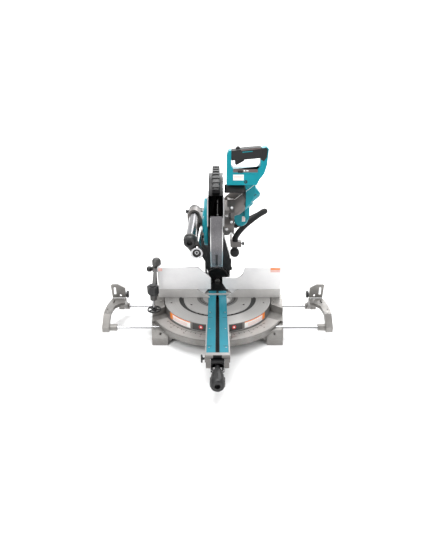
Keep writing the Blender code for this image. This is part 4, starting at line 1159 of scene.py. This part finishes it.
@dataclass
class Head:
    """Saw head: gear housing, blade cover, motor, handle and grips."""

    vents: int = 12
    rib_rings: tuple[Span, ...] = ((0.1180, 0.1215), (0.1600, 0.1630))
    rib_angles: tuple[float, ...] = (-36, -4, 28, 60, 92, 124, 154)
    cover_screw_ring: float = 0.070
    gear_bolts: tuple[Point, ...] = (
        (0.0505, -0.1010, 0.5060), (0.0330, -0.1060, 0.4790), (0.0500, -0.1075, 0.4560),
        (0.0330, -0.1065, 0.4290), (0.0490, -0.0960, 0.4080))

    def build(self) -> None:
        """Builds and dresses the head."""
        eased("gear_housing", GEARS, 0.0012)
        eased("blade_case", CASE, 0.0005)
        eased("case_top_cover", NYLON, 0.0008)
        eased("side_cover", TEAL, 0.0025, 3)
        eased("motor_housing", TEAL, 0.0014)
        eased("carry_grip", RUBBER, 0.0010)
        self.case()
        self.gears()
        self.motor()
        self.handle()

    def case(self) -> None:
        """Painted highlights on the rims, raised lines, cover ribs and cover screws."""
        centre = (0, ARBOR_Y, ARBOR_Z)
        # Painted highlights: thin near-white bands along the edges of the blade cover.
        rims = [band(0.1757, 0.1768, low, high, Axis.X, centre, -45, 212, 72)
                for low, high in ((-0.0340, -0.0308), (0.0190, 0.0222))]
        fitting("case_rim_highlights", "head", BRIGHT_METAL_AND_HIGHLIGHT, rims)
        casting = []
        for low, high in ((-0.0352, -0.0338), (0.0220, 0.0232)):
            for inner, outer in self.rib_rings:
                casting.append(band(inner, outer, low, high, Axis.X, centre, -40, 200, 60))
            for angle in self.rib_angles:
                casting.append(band(0.0900, 0.1680, low, high, Axis.X, centre, angle, 1.5, 1))
        fitting("case_side_ribs", "head", CASE_RIB, casting)
        ribs = [band(0.1972, 0.2004, -0.0165, 0.0065, Axis.X, centre, 82 + 6.2 * i, 2.4, 2) for i in range(8)]
        fitting("case_cover_ribs", "head", NYLON, ribs)
        screws = []
        for angle in (60, 150, 230):
            y = ARBOR_Y + self.cover_screw_ring * math.cos(math.radians(angle))
            z = ARBOR_Z + self.cover_screw_ring * math.sin(math.radians(angle))
            screws.append(cap_screw(-0.0479, y, z, Axis.X, -0.0022, 0.0042))
        fitting("side_cover_screws", "head", STEEL, screws)

    def gears(self) -> None:
        """Bright bolts and the shaft lock's bracket on the front of the gear housing."""
        screws = [cap_screw(x, y, z, Axis.Y, -0.0055, 0.0050) for x, y, z in self.gear_bolts]
        fitting("gear_case_bolts", "head", BRIGHT_METAL_AND_HIGHLIGHT, screws)
        bracket = [block((0.0270, 0.0400), (-0.1140, -0.1055), (0.4900, 0.4945), 0.0012),
                   block((0.0420, 0.0465), (-0.1135, -0.1045), (0.4650, 0.4900), 0.0012)]
        fitting("shaft_lock_bracket", "head", NYLON, bracket)

    def motor_place(self, angle: float) -> Matrix:
        """The place of a piece on the motor, at an angle from its front towards its top.

        Args:
            angle: the angle, in degrees.

        Returns:
            A matrix whose X points out from the motor and whose Z runs along it.
        """
        along = Vector((math.cos(MOTOR_TILT), 0, math.sin(MOTOR_TILT)))
        over = Vector((-math.sin(MOTOR_TILT), 0, math.cos(MOTOR_TILT)))
        turn = math.radians(angle)
        out = Vector((0, -1, 0)) * math.cos(turn) + over * math.sin(turn)
        side = along.cross(out)
        return Matrix.Translation(MOTOR_START) @ Matrix((out, side, along)).transposed().to_4x4()

    def motor(self) -> None:
        """Painted shade in the cooling slots, a painted highlight line, and labels of the motor."""
        # Painted shade: dark slots stand for the shade inside the cooling vents.
        slots = []
        for i in range(self.vents):
            slot = block((0.0325, 0.0337), (-0.0016, 0.0016), (0.0620, 0.0840), 0.0003)
            slot.transform(self.motor_place(360 * i / self.vents + 10))
            slots.append(slot)
        fitting("motor_vents", "head", INK_AND_SHADE, slots)
        # Painted highlight: white strokes along the top front of the motor.
        line = block((0.0420, 0.0431), (-0.0008, 0.0008), (0.0060, 0.0480), 0.0003)
        line.transform(self.motor_place(30))
        rise = pulled([(0.1005, 0.5590), (0.1320, 0.5840), (0.1320, 0.5858), (0.1005, 0.5608)], Axis.Y,
                      -0.0856, -0.0848)
        fitting("motor_painted_highlight", "head", WHITE_VINYL_AND_HIGHLIGHT, [line, rise])
        profile = [(0.0424, 0.0462), (0.0430, 0.0466), (0.0430, 0.0476), (0.0424, 0.0480)]
        ring = turned(profile, Axis.Z, (0, 0, 0), 40)
        ring.transform(self.motor_place(0))
        fitting("motor_seam", "head", INK_AND_SHADE, [ring])
        label = block((0.0920, 0.1040), (-0.0204, -0.0199), (0.4280, 0.4480))
        fitting("control_label", "head", WHITE_VINYL_AND_HIGHLIGHT, [label])
        lines = self.printed((0.0935, 0.1025), (-0.0206, -0.0203), (0.4300, 0.4345, 0.4390, 0.4435))
        fitting("control_label_print", "head", PINK_PRINT, lines)

    def printed(self, x: Span, y: Span, rows: tuple[float, ...]) -> list[Shape]:
        """The printed lines of a label.

        Args:
            x: the lowest and highest X of every line.
            y: their lowest and highest Y.
            rows: the lowest Z of each.

        Returns:
            One shape for each line.
        """
        return [block(x, y, (z, z + 0.0022)) for z in rows]

    def handle(self) -> None:
        """Handle with its soft grip, switch strip, labels, trigger and buttons."""
        eased("handle_housing", TEAL, 0.0022, 3)
        eased("handle_grip", RUBBER, 0.0020, 3)
        eased("trigger", NYLON, 0.0010)
        profile = [(0, 0.7136), (0.0067, 0.7136), (0.0070, 0.7170), (0.0066, 0.7205), (0.0051, 0.7233),
                   (0.0026, 0.7247), (0, 0.7250)]
        dome = turned(profile, Axis.Z, (0.0660, -0.151, 0), 28)
        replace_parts(fitting("lock_off_dome", "lock_off_button", NYLON, [dome]), "lock_off_button")
        eased("light_switch", NYLON, 0.0006)
        self.front_labels()
        self.grip_trim()

    def front_labels(self) -> None:
        """Switch strip and blank label on the front of the handle."""
        front = HANDLE_FRONT
        strip = block((0.0510, 0.1310), (front - 0.0026, front), (0.6445, 0.6550), 0.0003)
        fitting("switch_strip", "head", BROWN_GREY, [strip])
        marks = [block(x, (front - 0.0028, front - 0.0024), z)
                 for x, z in (((0.0850, 0.0900), (0.6480, 0.6520)), ((0.0930, 0.1010), (0.6485, 0.6515)))]
        fitting("switch_marks", "head", WHITE_VINYL_AND_HIGHLIGHT, marks)
        label = block((0.0515, 0.0860), (front - 0.0005, front), (0.6180, 0.6368))
        fitting("handle_label", "head", WHITE_VINYL_AND_HIGHLIGHT, [label])
        lines = self.printed((0.0535, 0.0840), (front - 0.0007, front - 0.0004), (0.6210, 0.6255, 0.6300))
        fitting("handle_label_print", "head", PINK_PRINT, lines)

    def grip_trim(self) -> None:
        """Overmoulded post, screw, and the two coloured bands on the front of the grip."""
        front = HANDLE_FRONT
        post = pulled([(0.1392, 0.6860), (0.1400, 0.7215), (0.1560, 0.7225), (0.1612, 0.7165),
                       (0.1590, 0.6920), (0.1500, 0.6800)], Axis.Y, front - 0.0009, front)
        fitting("grip_post_overmould", "head", RUBBER, [post])
        # Painted shade: a dark ring in the recess round the screw.
        x, z = 0.0930, 0.6130
        hole = band(0.0040, 0.0056, front - 0.0007, front + 0.0004, Axis.Y, (x, 0, z), steps=20)
        screw = cap_screw(x, front + 0.0002, z, Axis.Y, -0.0006, 0.0040)
        fitting("handle_screw_hole", "head", INK_AND_SHADE, [hole, screw])
        top = pulled([(0.0760, 0.7130), (0.1390, 0.7195), (0.1390, 0.7228), (0.0760, 0.7172)], Axis.Y,
                     front - 0.0024, front - 0.0017)
        fitting("grip_top_band", "head", BROWN_GREY, [top])
        stroke = pulled([(0.0800, 0.7080), (0.1120, 0.7105), (0.1120, 0.7128), (0.0800, 0.7102)], Axis.Y,
                        front - 0.0025, front - 0.0017)
        fitting("grip_stroke", "head", TEAL, [stroke])


@dataclass
class Cutter:
    """Blade with its flange and bolt, and the swinging guard."""

    slots: int = 6

    def build(self) -> None:
        """Builds and dresses the blade and its guard."""
        eased("lower_guard", SMOKE, 0.0005)
        eased("saw_blade", BLADE, 0.0)
        eased("outer_flange", STEEL, 0.0003)
        eased("arbor_shaft", STEEL, 0.0003)
        eased("arbor_bolt", STEEL, 0.0004)
        centre = (0, ARBOR_Y, ARBOR_Z)
        # Painted highlights: thin near-white bands along the edges of the guard.
        rings = [band(0.1676, 0.1683, low, high, Axis.X, centre, 158, 153, 50)
                 for low, high in ((-0.0240, -0.0216), (0.0156, 0.0180))]
        fitting("guard_rim_highlights", "lower_guard", BRIGHT_METAL_AND_HIGHLIGHT, rings)
        # Painted shade: a dark band for the slot in the guard.
        peep = band(0.1678, 0.1684, -0.0070, 0.0010, Axis.X, centre, 204, 25, 10)
        fitting("guard_slot", "lower_guard", INK_AND_SHADE, [peep])
        # Painted shade: dark lines for the slots cut through the blade.
        slots = []
        for i in range(self.slots):
            for low, high in ((-0.0013, -0.0010), (0.0010, 0.0013)):
                slots.append(band(0.080, 0.112, low, high, Axis.X, centre, 360 * i / self.slots, 1.0, 2))
        fitting("blade_slots", "blade_set", INK_AND_SHADE, slots)


@dataclass
class Studio:
    """Floor, lights and camera."""

    eye: Point = (0.0, -1.520, 0.950)
    down: float = 23.94
    lens: float = 29.99
    bend_start: float = 2.5
    bend_radius: float = 1.5
    sheet_width: float = 14.0
    room: float = 0.40

    def build(self) -> None:
        """Sets the stage."""
        self.floor()
        self.lights()
        data = bpy.data.cameras.new("camera")
        data.sensor_fit = "VERTICAL"
        data.sensor_height = 36.0
        data.lens = self.lens
        camera = bpy.data.objects.new("camera", data)
        camera.location = self.eye
        camera.rotation_euler = (math.radians(90 - self.down), 0, 0)
        bpy.context.scene.collection.objects.link(camera)
        bpy.context.scene.camera = camera
        bpy.context.scene.view_settings.view_transform = "Standard"

    def floor(self) -> None:
        """A pale sheet that curves up behind the saw."""
        bm = bmesh.new()
        start, radius = self.bend_start, self.bend_radius
        path = [(-6.0, 0.0), (start, 0.0)]
        for angle in range(9, 91, 9):
            turn = math.radians(angle)
            path.append((start + radius * math.sin(turn), radius - radius * math.cos(turn)))
        path.append((start + radius, 7.0))
        verts = [bm.verts.new((-self.sheet_width / 2, y, z - 0.0006)) for y, z in path]
        edges = [bm.edges.new(pair) for pair in zip(verts, verts[1:])]
        made = bmesh.ops.extrude_edge_only(bm, edges=edges)["geom"]
        moved = [item for item in made if isinstance(item, bmesh.types.BMVert)]
        bmesh.ops.translate(bm, verts=moved, vec=(self.sheet_width, 0, 0))
        bmesh.ops.recalc_face_normals(bm, faces=bm.faces)
        mesh = bpy.data.meshes.new("studio_floor")
        bm.to_mesh(mesh)
        bm.free()
        mesh.shade_smooth()
        paper = Finish("matt_studio_paper", Slot.MACHINED, "#F6F6F6", "#F9F9F9", 0.9, 6.0, 0.0)
        mesh.materials.append(paper.make())
        obj = bpy.data.objects.new("studio_floor", mesh)
        bpy.context.scene.collection.objects.link(obj)

    def lamp(self, name: str, place: Point, aim: Point, size: float, power: float) -> None:
        """Sets up a square soft box.

        Args:
            name: its name.
            place: where it hangs.
            aim: the point it faces.
            size: the length of its sides.
            power: its power in watts.
        """
        data = bpy.data.lights.new(name, "AREA")
        data.shape = "SQUARE"
        data.size = size
        data.energy = power
        obj = bpy.data.objects.new(name, data)
        obj.location = place
        obj.rotation_euler = (Vector(aim) - Vector(place)).to_track_quat("-Z", "Y").to_euler()
        bpy.context.scene.collection.objects.link(obj)

    def lights(self) -> None:
        """Soft boxes round the saw, a wide one on the sheet behind it, and an even white room."""
        saw = (0, 0.05, 0.3)
        self.lamp("key", (-1.5, -1.9, 2.3), saw, 1.4, 54.0)
        self.lamp("fill", (1.9, -1.5, 1.5), saw, 1.6, 20.0)
        self.lamp("top", (0.2, 0.5, 2.9), saw, 2.2, 50.0)
        self.lamp("back", (0.8, 2.4, 1.8), saw, 1.6, 34.0)
        self.lamp("wash", (0.0, 1.2, 4.4), (0, 4.2, 1.6), 3.0, 170.0)
        world = bpy.data.worlds.new("white_room")
        bpy.context.scene.world = world
        world.use_nodes = True
        world.node_tree.nodes["Background"].inputs["Color"].default_value = linear("#FFFFFF")
        world.node_tree.nodes["Background"].inputs["Strength"].default_value = self.room


def main() -> None:
    """Builds every sub-assembly in order, then the studio."""
    logging.basicConfig(level=logging.INFO, format="%(name)s: %(message)s")
    groups = [Base(), Turntable(), Extension("left"), Extension("right"), Vise(), Slide(), Head(), Cutter()]
    for group in groups:
        before = len(bpy.data.objects)
        group.build()
        LOG.info("%s: %d pieces", type(group).__name__, len(bpy.data.objects) - before)
    Studio().build()


if __name__ == "__main__":
    main()
